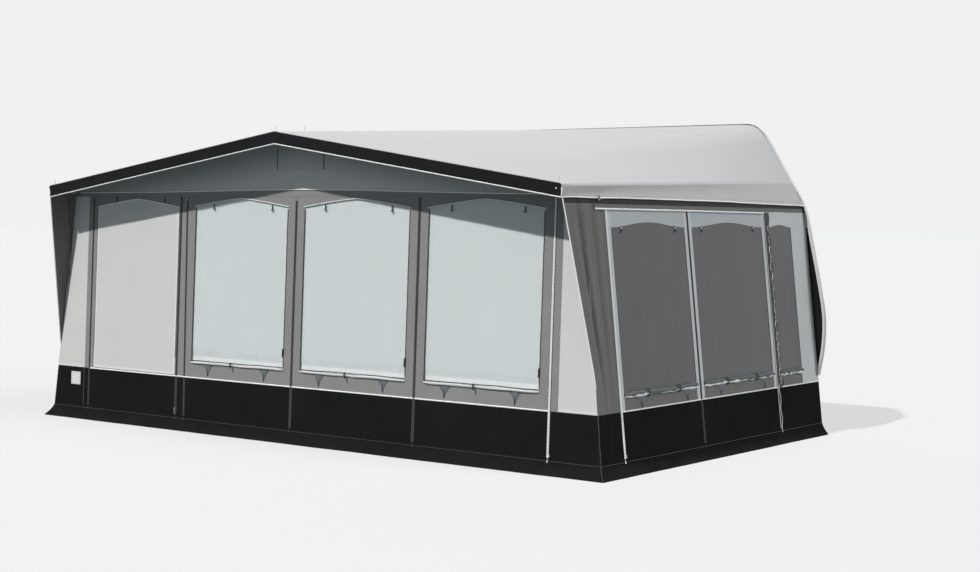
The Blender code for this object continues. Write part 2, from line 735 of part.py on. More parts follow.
def build_side(side):
    """One side wall: the corner with its wing and header strip, two zipped panels and the rear one."""
    word = "right" if side > 0 else "left"
    frame = side_frame(side, 0, PANEL_FOOT)
    surface = material("side_grey")

    def turned_over(loop):
        return [(side * y, v) for y, v in loop]

    def height(z):
        return up_side(z, PANEL_FOOT)

    wing_front = ROOF_FRONT + GAP
    header_foot = height(SIDE_ZIP_HEIGHT) + ZIP_GAP
    wing_foot_back = (WING_FOOT_HEIGHT - SEAM_HEIGHT) * math.tan(FRONT_ANGLE)
    corner = [
        (0, 0),
        (ZIP_SIDE_FRONT - ZIP_GAP / 2, 0),
        (ZIP_SIDE_FRONT - ZIP_GAP / 2, header_foot),
        (ROOF_REAR, header_foot),
        (ROOF_REAR, height(SIDE_TOP_REAR)),
        (wing_front, height(SIDE_TOP_FRONT)),
        (wing_front, height(TIP_HEIGHT - VALANCE_HEIGHT)),
        (wing_foot_back, height(WING_FOOT_HEIGHT)),
    ]
    plate(f"side_corner_{word}", [turned_over(corner)], -CLOTH, 0, frame, surface)
    panel_top = height(SIDE_ZIP_HEIGHT)
    sill, shoulder = height(SIDE_SILL), height(SIDE_SHOULDER)
    names = (f"side_panel_1_{word}", f"side_panel_2_{word}", f"side_rear_{word}")
    for number, ((near, far), name) in enumerate(zip(side_panel_edges(), names), start=1):
        window = (near + SIDE_MARGIN, far - SIDE_MARGIN)
        top = panel_top
        if number == 3:
            window = (near + REAR_PANE_OFFSET, near + REAR_PANE_OFFSET + REAR_PANE_WIDTH)
        outer = turned_over(box_loop(near, far, 0, top))
        hole = turned_over(arched_loop(*window, sill, shoulder, SIDE_CROWN, SIDE_ARCH_STEPS))
        plate(name, [outer, hole], -CLOTH, 0, frame, surface)
        lap = WINDOW_LAP
        near, far = window[0] - lap, window[1] + lap
        foil = arched_loop(near, far, sill - lap, shoulder + lap, SIDE_CROWN, SIDE_ARCH_STEPS)
        back = -CLOTH - GAP
        pane = f"side_pane_{number}_{word}"
        plate(pane, [turned_over(foil)], back - FOIL, back, frame, material("dark_foil", 0.2))


def skirt_offset(share):
    """How far the skirt has flared at this share of the way from its seam to the ground."""
    return SKIRT_FLARE * share**SKIRT_CURVE_POWER


def flared(name, corner_of, surface):
    """A skirt: rows from seam to ground, where corner_of gives both ends of the outer and inner face."""
    bm = bmesh.new()
    outer, inner = [], []
    for step in range(SKIRT_STEPS + 1):
        share = step / SKIRT_STEPS
        height = SEAM_HEIGHT * (1 - share)
        out = skirt_offset(share)
        outer.append([bm.verts.new(point) for point in corner_of(out, height)])
        inner.append([bm.verts.new(point) for point in corner_of(out - CLOTH, height)])
    for index in range(SKIRT_STEPS):
        bm.faces.new((outer[index][0], outer[index][1], outer[index + 1][1], outer[index + 1][0]))
        bm.faces.new((inner[index][0], inner[index][1], inner[index + 1][1], inner[index + 1][0]))
        for end in (0, 1):
            front = outer[index][end], outer[index + 1][end]
            bm.faces.new((*front, inner[index + 1][end], inner[index][end]))
    for index in (0, -1):
        bm.faces.new((outer[index][0], outer[index][1], inner[index][1], inner[index][0]))
    return add_object(name, mesh_from(name, bm), surface)


def build_skirts():
    """The ground skirt below the seam, in three lengths that meet at mitred corners."""
    surface = material("black_cloth")

    def front_ends(out, height):
        across = BASE_HALF_WIDTH + out - GAP
        return at(-across, -out, height), at(across, -out, height)

    flared("ground_skirt_front", front_ends, surface)
    for side, word in ((-1, "left"), (1, "right")):

        def side_ends(out, height, side=side):
            across = side * (BASE_HALF_WIDTH + out)
            return at(across, GAP - out, height), at(across, ROOF_REAR, height)

        flared(f"ground_skirt_{word}", side_ends, surface)


def build_beading_strip():
    """The strip that carries the beading round the caravan, widened to gussets beside the walls."""
    line = RAIL_LINE
    outer, inner = [], []
    for index, point in enumerate(line):
        before, after = line[max(index - 1, 0)], line[min(index + 1, len(line) - 1)]
        along = (after - before).normalized()
        outward = Vector((-along.y, along.x))
        outer.append(point + outward * BEADING_DIAMETER / 2)
        inward = point - outward * BAND_WIDTH
        if point.y < DROP_REAR_HEIGHT:
            inward = Vector((min(side_x(point.y) - BAND_LAP, inward.x), point.y))
        inner.append(inward)
    outer[0].x = inner[0].x = 0
    half = [(p.x, p.y) for p in outer]
    back = [(p.x, p.y) for p in inner]
    loop = [(-x, y) for x, y in reversed(half[1:])] + half
    loop += list(reversed(back)) + [(-x, y) for x, y in back[1:]]
    frame = frame_of(at(0, SIDE_LENGTH, 0), Vector((0, -1, 0)), Vector((0, 0, 1)))
    plate("beading_strip", [loop], 0, BAND_THICKNESS, frame, material("black_cloth"))


def canopy_spike_y():
    return FRONT_EDGE + SPIKE_SETBACK


def leg_top_y(side):
    """Where a leg's line, which leans back with the front wall, crosses its roof pole."""
    top = PEAK_HEIGHT if side == 0 else WALL_TOP
    return LEG_SET + (top - SEAM_HEIGHT) * math.tan(FRONT_ANGLE)


def pole_share():
    """The roof line that the side poles follow, as a share of the half roof's breadth."""
    across = TOP_HALF_WIDTH - LEG_SET
    return across / math.cos(GABLE_SLOPE) / length_of(CANOPY_LINE)


def pole_ends(side):
    """Both ends of a roof pole's axis, from the canopy to the caravan."""
    if side == 0:
        front, rear = Vector((0, PEAK_HEIGHT - POLE_DEPTH)), Vector((0, RAIL_HEIGHT - PAD_DEPTH))
    else:
        front, rear = roof_ends(pole_share())
        slope = roof_ends(1.0)[1] - roof_ends(pole_share() - POLE_SLOPE_SHARE)[1]
        inward = Vector((slope.y, -slope.x)).normalized()
        front = front + Vector((0, -POLE_DEPTH))
        rear = rear + inward * PAD_DEPTH
    return at(side * front.x, ROOF_FRONT, front.y), at(side * rear.x, ROOF_REAR, rear.y)


def pole_point(side, y):
    front, rear = pole_ends(side)
    return front.lerp(rear, back_share(y))


def leg_foot(side):
    lean = SEAM_HEIGHT * math.tan(SIDE_ANGLE)
    across = side * (BASE_HALF_WIDTH + lean - LEG_SET)
    return at(across, LEG_SET, 0)


def leg_axis(side):
    return (pole_point(side, leg_top_y(side)) - leg_foot(side)).normalized()


def leg_at(side, height):
    axis = leg_axis(side)
    return leg_foot(side) + axis * (height / axis.z)


def build_roof_pole(side):
    """A telescopic pole from the caravan's pad to the canopy, with a spike that holds the rafters."""
    name = f"roof_pole_{WORDS[side]}"
    spike = pole_point(side, canopy_spike_y())
    front = pole_point(side, canopy_spike_y() - SPIKE_SETBACK / 2)
    rear = pole_point(side, SIDE_LENGTH - REAR_PAD_THICKNESS / 2)
    axis = rear - front
    length = axis.length
    step = (pole_point(side, leg_top_y(side) + POLE_STEP_SETBACK) - front).length
    sleeve = POLE_RADIUS + POLE_SLEEVE
    profile = [
        (0, 0),
        (POLE_INNER_RADIUS, 0),
        (POLE_INNER_RADIUS, step),
        (sleeve, step),
        (sleeve, step + POLE_SLEEVE_LENGTH),
        (POLE_RADIUS, step + POLE_SLEEVE_LENGTH),
        (POLE_RADIUS, length),
        (0, length),
    ]
    pole = turned(name, profile, front, axis, metal())
    pad_profile = [
        (0, 0),
        (sleeve, 0),
        (REAR_PAD_RADIUS, REAR_PAD_THICKNESS / 2),
        (REAR_PAD_RADIUS, REAR_PAD_THICKNESS),
        (0, REAR_PAD_THICKNESS),
    ]
    seat = pole_point(side, SIDE_LENGTH - REAR_PAD_THICKNESS)
    pad = turned(name + "_pad", pad_profile, seat, Vector((0, 1, 0)), metal(), PLATE_SIDES)
    boolean(pole, pad, "UNION")
    top = spike + Vector((0, 0, POLE_DEPTH + SPIKE_PROUD))
    boolean(pole, rod(name + "_spike", spike, top, SPIKE_RADIUS, metal(), SPIKE_SIDES), "UNION")
    centre = pole_point(side, leg_top_y(side))
    drill(pole, centre, leg_axis(side), SPIKE_RADIUS + SPIKE_CLEARANCE, POLE_RADIUS + OVERRUN, HOLE_SIDES)


def build_leg(side):
    """A leg's outer tube, open below for the foot's tube, with its clamp collar and top spigot."""
    axis = leg_axis(side)
    start = leg_at(side, LEG_SPLIT_HEIGHT)
    crossing = pole_point(side, leg_top_y(side))
    front, rear = pole_ends(side)
    tilt = abs(axis.dot((rear - front).normalized()))
    shoulder = (crossing - start).length - POLE_INNER_RADIUS - GAP * 2 - LEG_RADIUS * tilt
    bore = LEG_RADIUS - LEG_WALL
    plug = LEG_OVERLAP + OVERRUN
    spigot = shoulder + POLE_INNER_RADIUS * 2 + POLE_DEPTH + SPIKE_PROUD
    profile = [
        (0, plug),
        (bore, plug),
        (bore, 0),
        (COLLAR_RADIUS, 0),
        (COLLAR_RADIUS, COLLAR_HEIGHT),
        (LEG_RADIUS, COLLAR_HEIGHT + COLLAR_RADIUS - LEG_RADIUS),
        (LEG_RADIUS, shoulder),
        (SPIKE_RADIUS, shoulder),
        (SPIKE_RADIUS, spigot - SPIKE_RADIUS),
        (0, spigot),
    ]
    leg = turned(f"leg_{WORDS[side]}", profile, start, axis, metal())
    outward = knob_direction(side)
    hole = start + axis * COLLAR_HEIGHT / 2 + outward * (bore + COLLAR_RADIUS) / 2
    reach = (COLLAR_RADIUS - bore) * 3 / 4 + GAP
    drill(leg, hole, outward, STUD_RADIUS + STUD_CLEARANCE, reach, HOLE_SIDES)


def knob_direction(side):
    """Across the leg and into the awning, where a hand can reach it."""
    axis = leg_axis(side)
    back = Vector((0, 1, 0))
    return (back - axis * back.dot(axis)).normalized()


def build_foot(side):
    """The leg's inner tube and the foot plate that stands flat on the ground."""
    axis = leg_axis(side)
    low = leg_at(side, FOOT_PLATE_THICKNESS)
    top = leg_at(side, LEG_SPLIT_HEIGHT) + axis * LEG_OVERLAP
    name = f"foot_{WORDS[side]}"
    profile = [
        (0, 0),
        (FOOT_PLATE_RADIUS, 0),
        (FOOT_PLATE_RADIUS, FOOT_PLATE_THICKNESS),
        (FOOT_RADIUS * 2, FOOT_PLATE_THICKNESS + FOOT_DOME_HEIGHT / 2),
        (FOOT_RADIUS * 3 / 2, FOOT_PLATE_THICKNESS + FOOT_DOME_HEIGHT),
        (0, FOOT_PLATE_THICKNESS + FOOT_DOME_HEIGHT),
    ]
    plate_piece = turned(name, profile, leg_foot(side), Vector((0, 0, 1)), metal(), PLATE_SIDES)
    boolean(plate_piece, rod(name + "_tube", low, top, FOOT_RADIUS, metal()), "UNION")


def build_knob(side):
    """A lobed clamp knob whose stud runs through the leg's collar to the inner tube."""
    outward = knob_direction(side)
    centre = leg_at(side, LEG_SPLIT_HEIGHT) + leg_axis(side) * COLLAR_HEIGHT / 2
    lobes = []
    for index in range(KNOB_LOBES * KNOB_LOBE_POINTS):
        angle = 2 * math.pi * index / (KNOB_LOBES * KNOB_LOBE_POINTS)
        radius = KNOB_RADIUS + KNOB_LOBE_DEPTH * math.cos(KNOB_LOBES * angle)
        lobes.append((radius * math.cos(angle), radius * math.sin(angle)))
    seat = COLLAR_RADIUS + KNOB_STAND_OFF
    name = f"clamp_knob_{WORDS[side]}"
    frame = frame_of(centre, outward, leg_axis(side))
    knob = plate(name, [lobes], seat, seat + KNOB_THICKNESS, frame, plastic())
    bpy.context.view_layer.update()
    mesh = bpy.data.meshes.new_from_object(knob)
    solid = add_object(name + "_solid", mesh, plastic(), knob.matrix_world.copy())
    bpy.data.objects.remove(knob)
    solid.name = name
    weld = solid.modifiers.new("weld", "WELD")
    weld.merge_threshold = GAP / 10
    stud_start = centre + outward * (FOOT_RADIUS + GAP * 2)
    stud_end = centre + outward * (seat + KNOB_THICKNESS / 2)
    boolean(solid, rod(name + "_stud", stud_start, stud_end, STUD_RADIUS, metal(), HOLE_SIDES), "UNION")


def tongue(name, centre, towards, up, width, thickness, length):
    """A flat end: from an eye's centre along a direction."""
    side = up.cross(towards).normalized()
    axes = Matrix((towards, side, up)).transposed().to_4x4()
    bm = bmesh.new()
    bmesh.ops.create_cube(bm, size=1.0)
    bmesh.ops.scale(bm, vec=(length, width, thickness), verts=bm.verts)
    bmesh.ops.translate(bm, vec=(length / 2, 0, 0), verts=bm.verts)
    return add_object(name, mesh_from(name, bm), metal(), Matrix.Translation(centre) @ axes)


def build_rafter(side):
    """A canopy rafter, flattened to an eye at each end that drops over the poles' spikes."""
    name = f"gable_rafter_{WORDS[side]}"
    lift = Vector((0, 0, (EYE_THICKNESS + GAP) / 2)) * side
    rise = Vector((0, 0, POLE_INNER_RADIUS + EYE_SEAT + EYE_THICKNESS + GAP / 2))
    middle = pole_point(0, canopy_spike_y()) + rise + lift
    tip = pole_point(side, canopy_spike_y())
    tip = tip + Vector((0, 0, POLE_INNER_RADIUS + EYE_SEAT + EYE_THICKNESS / 2))
    along = (tip - middle).normalized()
    level = Vector((along.x, along.y, 0)).normalized()
    up = Vector((0, 0, 1))
    inset = TONGUE_LENGTH * 2 / 3
    tube = rod(name, middle + along * inset, tip - along * inset, RAFTER_RADIUS, metal())
    for label, centre, towards in (("inner", middle, level), ("outer", tip, -level)):
        disc = rod(
            f"{name}_{label}_eye",
            centre - up * EYE_THICKNESS / 2,
            centre + up * EYE_THICKNESS / 2,
            EYE_RADIUS,
            metal(),
        )
        boolean(tube, disc, "UNION")
        part = f"{name}_{label}_tongue"
        flat = tongue(part, centre, towards, up, TONGUE_WIDTH, EYE_THICKNESS, TONGUE_LENGTH)
        boolean(tube, flat, "UNION")
    for centre in (middle, tip):
        drill(tube, centre, up, SPIKE_RADIUS + SPIKE_CLEARANCE, EYE_THICKNESS, HOLE_SIDES)


def build_front_rail(side):
    """The rail along the wall's top, with a ring at each end that slips over its leg."""
    name = f"front_rail_{WORDS[side]}"
    ring_height = RAIL_RADIUS * 2 + CLOTH
    level = WALL_TOP - RAIL_RADIUS
    shift = leg_axis(0) * side * (ring_height + GAP) / 2
    inner = leg_at(0, level) + shift
    outer = leg_at(side, level)
    along = (outer - inner).normalized()
    bore = LEG_RADIUS + RING_CLEARANCE
    inset = bore + RING_WALL / 2
    tube = rod(name, inner + along * inset, outer - along * inset, RAIL_RADIUS, metal())
    for label, centre, axis in (("inner", inner, leg_axis(0)), ("outer", outer, leg_axis(side))):
        half = axis * ring_height / 2
        ends = centre - half, centre + half
        ring = rod(f"{name}_{label}_ring", *ends, bore + RING_WALL, metal(), RING_SIDES)
        boolean(tube, ring, "UNION")
    for centre, axis in ((inner, leg_axis(0)), (outer, leg_axis(side))):
        drill(tube, centre, axis, bore, ring_height, RING_BORE_SIDES)


def build_slider(name, frame, edge, side=1):
    """A zip slider lying on the tape beside its zip, with its pull tab hanging down."""
    half, tab = SLIDER_WIDTH / 2, SLIDER_TAB_WIDTH / 2
    middle = edge - side * (half + SLIDER_EDGE)
    loop = [
        (middle - tab, 0),
        (middle + tab, 0),
        (middle + tab, SLIDER_TAB),
        (middle + half, SLIDER_TAB + tab),
        (middle + half, SLIDER_TAB + SLIDER_HEIGHT - half),
        (middle, SLIDER_TAB + SLIDER_HEIGHT),
        (middle - half, SLIDER_TAB + SLIDER_HEIGHT - half),
        (middle - half, SLIDER_TAB + tab),
        (middle - tab, SLIDER_TAB),
    ]
    quarter = SLIDER_TAB_WIDTH / 4
    hole = box_loop(middle - quarter, middle + quarter, SLIDER_TAB / 4, SLIDER_TAB * 3 / 4)
    plate(name, [loop, hole], GAP, GAP + SLIDER_THICKNESS, frame, metal())


def build_sliders():
    height = PANEL_FOOT + SLIDER_REST
    build_slider("door_zip_slider", front_frame(0, height), bay(1)[1])
    edge = ZIP_SIDE_FRONT - ZIP_GAP / 2
    for side, word in ((-1, "left"), (1, "right")):
        build_slider(f"side_zip_slider_{word}", side_frame(side, 0, height), side * edge, side)


def main():
    clear_scene()
    build_roof()
    for side, word in ((-1, "left"), (1, "right")):
        sheet(f"eave_drop_{word}", drop_rows(side), material("roof_grey"))
    build_valance()
    build_gable()
    for number in range(1, 5):
        build_front_bay(number)
    build_closed_cover()
    for side in (-1, 1):
        build_front_corner(side)
        build_side(side)
        build_rafter(side)
        build_front_rail(side)
    build_skirts()
    build_beading_strip()
    for side in (-1, 0, 1):
        build_roof_pole(side)
        build_leg(side)
        build_foot(side)
        build_knob(side)
    build_sliders()


main()
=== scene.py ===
"""Looks of the caravan awning: its cloth, foil, zips, trim and frame finish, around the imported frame.

Metres, in the frame's own axes: +X along the front wall, +Y back to the caravan, +Z up.
"""

import math

import bmesh
import bpy
from mathutils import Matrix, Vector, noise


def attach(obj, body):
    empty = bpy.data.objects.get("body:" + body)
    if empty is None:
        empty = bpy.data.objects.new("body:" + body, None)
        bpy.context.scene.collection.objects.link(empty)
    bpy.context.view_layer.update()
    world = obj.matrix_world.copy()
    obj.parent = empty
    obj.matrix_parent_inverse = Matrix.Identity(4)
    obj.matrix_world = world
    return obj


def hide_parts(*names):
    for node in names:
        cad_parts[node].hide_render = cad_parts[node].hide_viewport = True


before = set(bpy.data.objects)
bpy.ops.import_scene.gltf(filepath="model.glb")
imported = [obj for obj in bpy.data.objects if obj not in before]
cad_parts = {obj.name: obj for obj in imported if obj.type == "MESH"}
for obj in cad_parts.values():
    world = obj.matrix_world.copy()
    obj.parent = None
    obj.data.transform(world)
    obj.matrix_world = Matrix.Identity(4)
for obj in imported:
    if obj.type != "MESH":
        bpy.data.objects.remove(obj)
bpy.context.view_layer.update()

SIDES = ((-1, "left"), (1, "right"))

# Main planes of the awning
FRONT_Y = -1.535
SEAM_HEIGHT = 0.110
PANEL_FOOT = 0.1106
PANEL_TOP = 1.894
WALL_TOP = 1.898
WALL_RISE = 1.788
MUD_TOP = 0.433
BASE_HALF = 2.843
TOP_HALF = 2.645
FRONT_SLOPE = 0.071 / WALL_RISE
SIDE_SLOPE = 0.198 / WALL_RISE
SKIRT_FLARE = 0.063
SKIRT_POWER = 1.7
SKIRT_STITCH = 0.093

# Roof
ROOF_FRONT = -1.7369
ROOF_REAR = 1.7357
PEAK_HEIGHT = 2.382
TIP_HEIGHT = 1.981
CANOPY_SLOPE = (PEAK_HEIGHT - TIP_HEIGHT) / TOP_HALF
VALANCE_HEIGHT = 0.092
VALANCE_FRONT = -1.740
VALANCE_LEAN = 0.022
EAVE_RADIUS = 0.022
EAVE_REAR_HEIGHT = 2.050
DROP_FRONT_HEIGHT = 1.892
DROP_REAR_HEIGHT = 1.866
DROP_STAND_OFF = 0.011
DROP_BOW = 0.010

# Gable: its seam as a share of the roof's depth, and its ventilation window
GABLE_BACK = 0.0818
GABLE_HALF = 2.585
VENT_HALF = 0.228
VENT_SILL = 2.112
VENT_TOP = 2.278

# The caravan's rail and the beading strip: a share of half its width with a share of its height
RAIL_HEIGHT = 2.550
RAIL_HALF = 2.861
RAIL_SHARES = (
    (0.0, 1.0), (0.40, 1.0), (0.68, 1.0), (0.755, 0.998), (0.787, 0.980), (0.812, 0.947), (0.882, 0.822),
    (0.931, 0.730), (0.962, 0.591), (0.989, 0.450), (1.0, 0.367), (0.998, 0.280), (0.984, 0.189),
)
BAND_FRONT = 1.7365
BAND_WIDTH = 0.030
# Height below which the gussets are black cloth, painted shade for the gap at the caravan
GUSSET_SHADE_TOP = 1.72
# How far the hem at the rail stands out, at each of its lines
HEM_OUTS = {1.7000: 0.0004, 1.7090: 0.0024, 1.7180: 0.0011, 1.7270: 0.0018, 1.7355: 0.0008}

# Front bays: panel edges and window edges, left to right
BAYS = {1: (-2.391, -1.3172), 2: (-1.3132, -0.0271), 3: (-0.0231, 1.2019), 4: (1.2059, 2.4060)}
WINDOWS = {1: (-2.306, -1.402), 2: (-1.143, -0.112), 3: (0.062, 1.117), 4: (1.291, 2.321)}
WINDOW_SILL = 0.567
WINDOW_SHOULDER = 1.812
WINDOW_CROWN = 0.064
WINDOW_ZIP_TOP = 1.795
COVER = (-2.346, -1.3312)
COVER_FOOT = 0.4431
DOOR_HOLDERS = (-2.106, -1.519)
CURTAIN_FOOT = 0.562
CURTAIN_HEM = 0.606
CURTAIN_TOP = 1.884
# The fixed strips beside the corners: their inner edge, and the edge of their grey band
CORNER_STRIPS = {"left": (2.3933, 2.463), "right": (2.4103, 2.480)}

# The label's place on the mud strip: left, right, foot and top
LABEL = (-2.632, -2.512, 0.284, 0.392)

# Side walls: panel edges and window edges from front to rear
SIDE_PANELS = {1: (-1.233, -0.1569), 2: (-0.1529, 1.0231), 3: (1.0271, 1.7357)}
SIDE_WINDOWS = {1: (-1.183, -0.2069), 2: (-0.1029, 0.9731), 3: (1.0721, 1.4621)}
SIDE_ZIP_TOP = 1.832
BAR_HEIGHT = 1.809
# Height from which the corner's outer face is painted dark as shade under the eave drop
PAINTED_SHADE_FOOT = 1.852
SIDE_SILL = 0.560
SIDE_SHOULDER = 1.690
SIDE_CROWN = 0.036
REAR_CROWN = 0.020
SIDE_TOP_FRONT = 1.922
SIDE_TOP_REAR = 1.876
WING_FRONT = -1.7366
WING_FOOT = 0.610
WING_TOP = 1.889
WING_REACH = -0.2016
# Upright folds beside the corner: a share of the strip's width, the depth and the width of each
CORNER_FOLDS = (
    (0.34, -0.021, 0.035), (0.45, 0.009, 0.05), (0.66, -0.011, 0.030), (0.76, 0.006, 0.03),
    (0.90, -0.006, 0.03), (0.16, 0.004, 0.05),
)

# Zips: place, the bodies before and after it, their teeth's finishes, the teeth's radius, the pull's distance
FRONT_ZIPS = (
    (-1.3152, "door", "bay_2", ("coil", "coil"), 0.0028, 0.0125),
    (-0.0251, "bay_2", "bay_3", ("coil", "coil"), 0.0026, 0.0125),
    (1.2039, "bay_3", "bay_4", ("coil", "coil"), 0.0028, 0.0125),
    (2.4081, "bay_4", "shell", ("light_coil", "light_coil"), 0.0038, 0.0125),
)
SIDE_ZIPS = (
    (-1.235, "shell", "side_1_{}", ("light_coil", "light_coil"), 0.0048, 0.0115),
    (-0.1549, "side_1_{}", "side_2_{}", ("coil", "coil"), 0.0034, 0.0114),
    (1.0251, "side_2_{}", "shell", ("light_coil", "coil"), 0.0030, None),
)
ZIP_FOOT = 0.1155
FRONT_ZIP_TOP = PANEL_TOP - 0.004
HINGE_ZIP = -2.4005
TEETH_STEP = 0.012
PULL_RADIUS = 0.0062

# Cloth
CLOTH = 0.0012
FOIL = 0.0006
HEAVY_CLOTH = 0.0016
PANE_LAP = 0.008
DEPTH_OF_FOIL = 0.0032
DEPTH_OF_CURTAIN = 0.0068
WALL_THREADS = ((0.7, 0.7, 0), (0, 0, 1))
ROOF_THREADS = ((1, 0, 0), (0, 1, 0))

# Camera, from the photo
CAMERA_YAW = 0.6511
CAMERA_PITCH = 0.0413
CAMERA_ROLL = 0.0094
CAMERA_PLACE = (9.0722, -10.9477, 1.7612)
CAMERA_LENS = 62.36

# Light: each lamp's name, strength, softness in degrees, and the way its light travels
LAMPS = (
    ("key", 3.5, 1.6, (0.13, 1.0, -1.165)),
    ("side_fill", 0.75, 35.0, (-1.0, -0.25, -0.12)),
    ("side_top_fill", 1.2, 25.0, (-1.0, -0.1, -0.9)),
    ("rear_fill", 0.8, 50.0, (1.0, -0.6, -0.2)),
)
SKY_STRENGTH = 0.27
SKY_COLOUR = (0.89, 0.985, 1.08, 1)
BACKDROP = (0.877, 0.877, 0.877, 1)
FLOOR_BOUNCE = (0.155, 0.183, 0.200, 1)
FLOOR_LIT = (0.63, 0.63, 0.63, 1)
GLOW_SHARE = 0.65

FRONT_OUT = Vector((0, -1, FRONT_SLOPE)).normalized()


# Numbers


def spread(*stops, step):
    """Numbers through all the stops, with gaps no wider than step."""
    line = [stops[0]]
    for start, end in zip(stops, stops[1:]):
        count = max(1, math.ceil(abs(end - start) / step - 1e-6))
        line += [start + (end - start) * index / count for index in range(1, count + 1)]
    return line


def shares_of(count):
    return [k / count for k in range(count + 1)]


def turns(count):
    return [2 * math.pi * turn / count for turn in range(count)]


def mirrored(values):
    """The values with their opposites before them, for values that start at 0."""
    return [-value for value in reversed(values[1:])] + values


def smooth(share):
    share = min(max(share, 0.0), 1.0)
    return share * share * (3 - 2 * share)


def bell(share):
    return (1 - math.cos(2 * math.pi * share)) / 2 if 0 < share < 1 else 0.0


def hump(value, centre, width):
    return math.exp(-(((value - centre) / width) ** 2))


def gabled(share):
    """A flat gable with a soft peak, from 0 to 1 and back."""
    return 1 - abs(2 * share - 1) ** 1.25 if 0 < share < 1 else 0.0


def wander(*place, seed=0.0):
    """Smooth noise from -1 to 1, the same in each run."""
    point = Vector((*place, 0, 0)[:3])
    return noise.noise(point + Vector((seed, seed * 1.7, seed * 2.3)))


# Finishes

FINISHES = {}
SLOTS = {}


def node(tree, kind, *values, operation=None, **named):
    """A shader node. Its inputs, in order or by name, take values or are linked to sockets."""
    made = tree.nodes.new(kind)
    if operation:
        made.operation = operation
    for key, value in (*enumerate(values), *named.items()):
        socket = made.inputs[key.replace("_", " ") if isinstance(key, str) else key]
        if isinstance(value, bpy.types.NodeSocket):
            tree.links.new(value, socket)
        else:
            socket.default_value = value
    return made


def weave_bump(tree, bsdf, place, thread, strength, directions):
    """Bump of crossing threads, from bands along the given directions of the object."""
    waves = []
    for direction in directions:
        dot = node(tree, "ShaderNodeVectorMath", place, direction, operation="DOT_PRODUCT")
        phase = node(tree, "ShaderNodeMath", dot.outputs["Value"], 2 * math.pi / thread, operation="MULTIPLY")
        waves.append(node(tree, "ShaderNodeMath", phase.outputs[0], operation="SINE").outputs[0])
    total = node(tree, "ShaderNodeMath", *waves, operation="ADD")
    bump = node(tree, "ShaderNodeBump", Strength=strength, Distance=thread / 4, Height=total.outputs[0])
    tree.links.new(bump.outputs["Normal"], bsdf.inputs["Normal"])


def mottled(tree, bsdf, place, colour, spread_by, scale):
    """The colour, a little lighter and darker in soft patches."""
    patches = node(tree, "ShaderNodeTexNoise", Vector=place, Scale=scale, Detail=6.0, Roughness=0.6)
    ramp = node(tree, "ShaderNodeValToRGB", Fac=patches.outputs["Fac"])
    for index, position, level in ((0, 0.3, 1 - spread_by), (1, 0.7, 1 + spread_by)):
        stop = ramp.color_ramp.elements[index]
        stop.position = position
        stop.color = (*(channel * level for channel in colour), 1)
    tree.links.new(ramp.outputs["Color"], bsdf.inputs["Base Color"])


def srgb(red, green, blue):
    """A colour from its eight-bit screen values."""
    return tuple(
        (value / 255 / 12.92) if value <= 10 else ((value / 255 + 0.055) / 1.055) ** 2.4
        for value in (red, green, blue)
    )


def finish(name, slot, colour, roughness, specular, patches=0.05, scale=3.0, metallic=0.0, alpha=1.0,
           thread=None, threads=WALL_THREADS, strength=0.25, sheen=0.0):
    """A finish and its colour slot. colour holds eight-bit screen values."""
    surface = bpy.data.materials.new(name)
    surface.use_nodes = True
    tree = surface.node_tree
    bsdf = tree.nodes["Principled BSDF"]
    bsdf.inputs["Roughness"].default_value = roughness
    bsdf.inputs["Specular IOR Level"].default_value = specular
    bsdf.inputs["Metallic"].default_value = metallic
    bsdf.inputs["Alpha"].default_value = alpha
    bsdf.inputs["Sheen Weight"].default_value = sheen
    place = node(tree, "ShaderNodeTexCoord").outputs["Object"]
    if thread:
        weave_bump(tree, bsdf, place, thread, strength, threads)
    mottled(tree, bsdf, place, srgb(*colour), patches, scale)
    FINISHES[name], SLOTS[name] = surface, slot


finish("roof_cloth", "roof_grey", (174, 173, 173), 0.6, 0.08, 0.02, 1.5, thread=0.0022, threads=ROOF_THREADS,
       strength=0.12)
# The roof's cloth, painted a little darker as shade on the eave drops
finish("drop_cloth", "roof_grey", (164, 164, 161), 0.6, 0.1, 0.03, thread=0.0022, strength=0.12)
finish("wall_cloth", "wall_grey", (134, 133, 130), 0.8, 0.15, thread=0.0024, sheen=0.08)
# Painted shade: the side walls' grey, set darker than the front's wall cloth for the lower light on the sides
finish("side_cloth", "side_grey", (110, 109, 105), 0.8, 0.15, thread=0.0024, sheen=0.08)
finish("light_cloth", "light_grey", (203, 202, 198), 0.75, 0.2, 0.02, thread=0.0024)
# The gable's light cloth, which gets painted shade towards the roof below
finish("gable_cloth", "light_grey", (203, 202, 198), 0.75, 0.2, 0.02, thread=0.0024)
finish("border_cloth", "light_grey", (190, 192, 191), 0.6, 0.25, 0.03, thread=0.0024)
finish("header_cloth", "light_grey", (173, 177, 177), 0.6, 0.25, 0.03, thread=0.0024)
finish("mud_cloth", "black_cloth", (31, 31, 31), 0.9, 0.0, 0.15, thread=0.003, strength=0.3)
finish("valance_cloth", "black_cloth", (28, 28, 29), 0.6, 0.05, 0.12, thread=0.003, strength=0.2)
finish("curtain_cloth", "curtain_white", (221, 223, 220), 0.85, 0.1, 0.015, 4, thread=0.0016, sheen=0.1)
finish("curtain_hem", "curtain_white", (240, 241, 239), 0.85, 0.1, 0.015, 4, thread=0.0016, sheen=0.1)
finish("clear_foil", "foil", (196, 204, 206), 0.12, 0.5, 0.02, alpha=0.12)
finish("dark_foil", "dark_foil", (95, 95, 95), 0.35, 0.2, 0.03, alpha=0.95)
finish("piping", "light_grey", (236, 235, 231), 0.45, 0.3, 0.04, 20)
finish("coil", "black_plastic", (58, 58, 58), 0.45, 0.3, 0.1, 200)
finish("light_coil", "light_grey", (234, 234, 232), 0.45, 0.3, 0.05, 200)
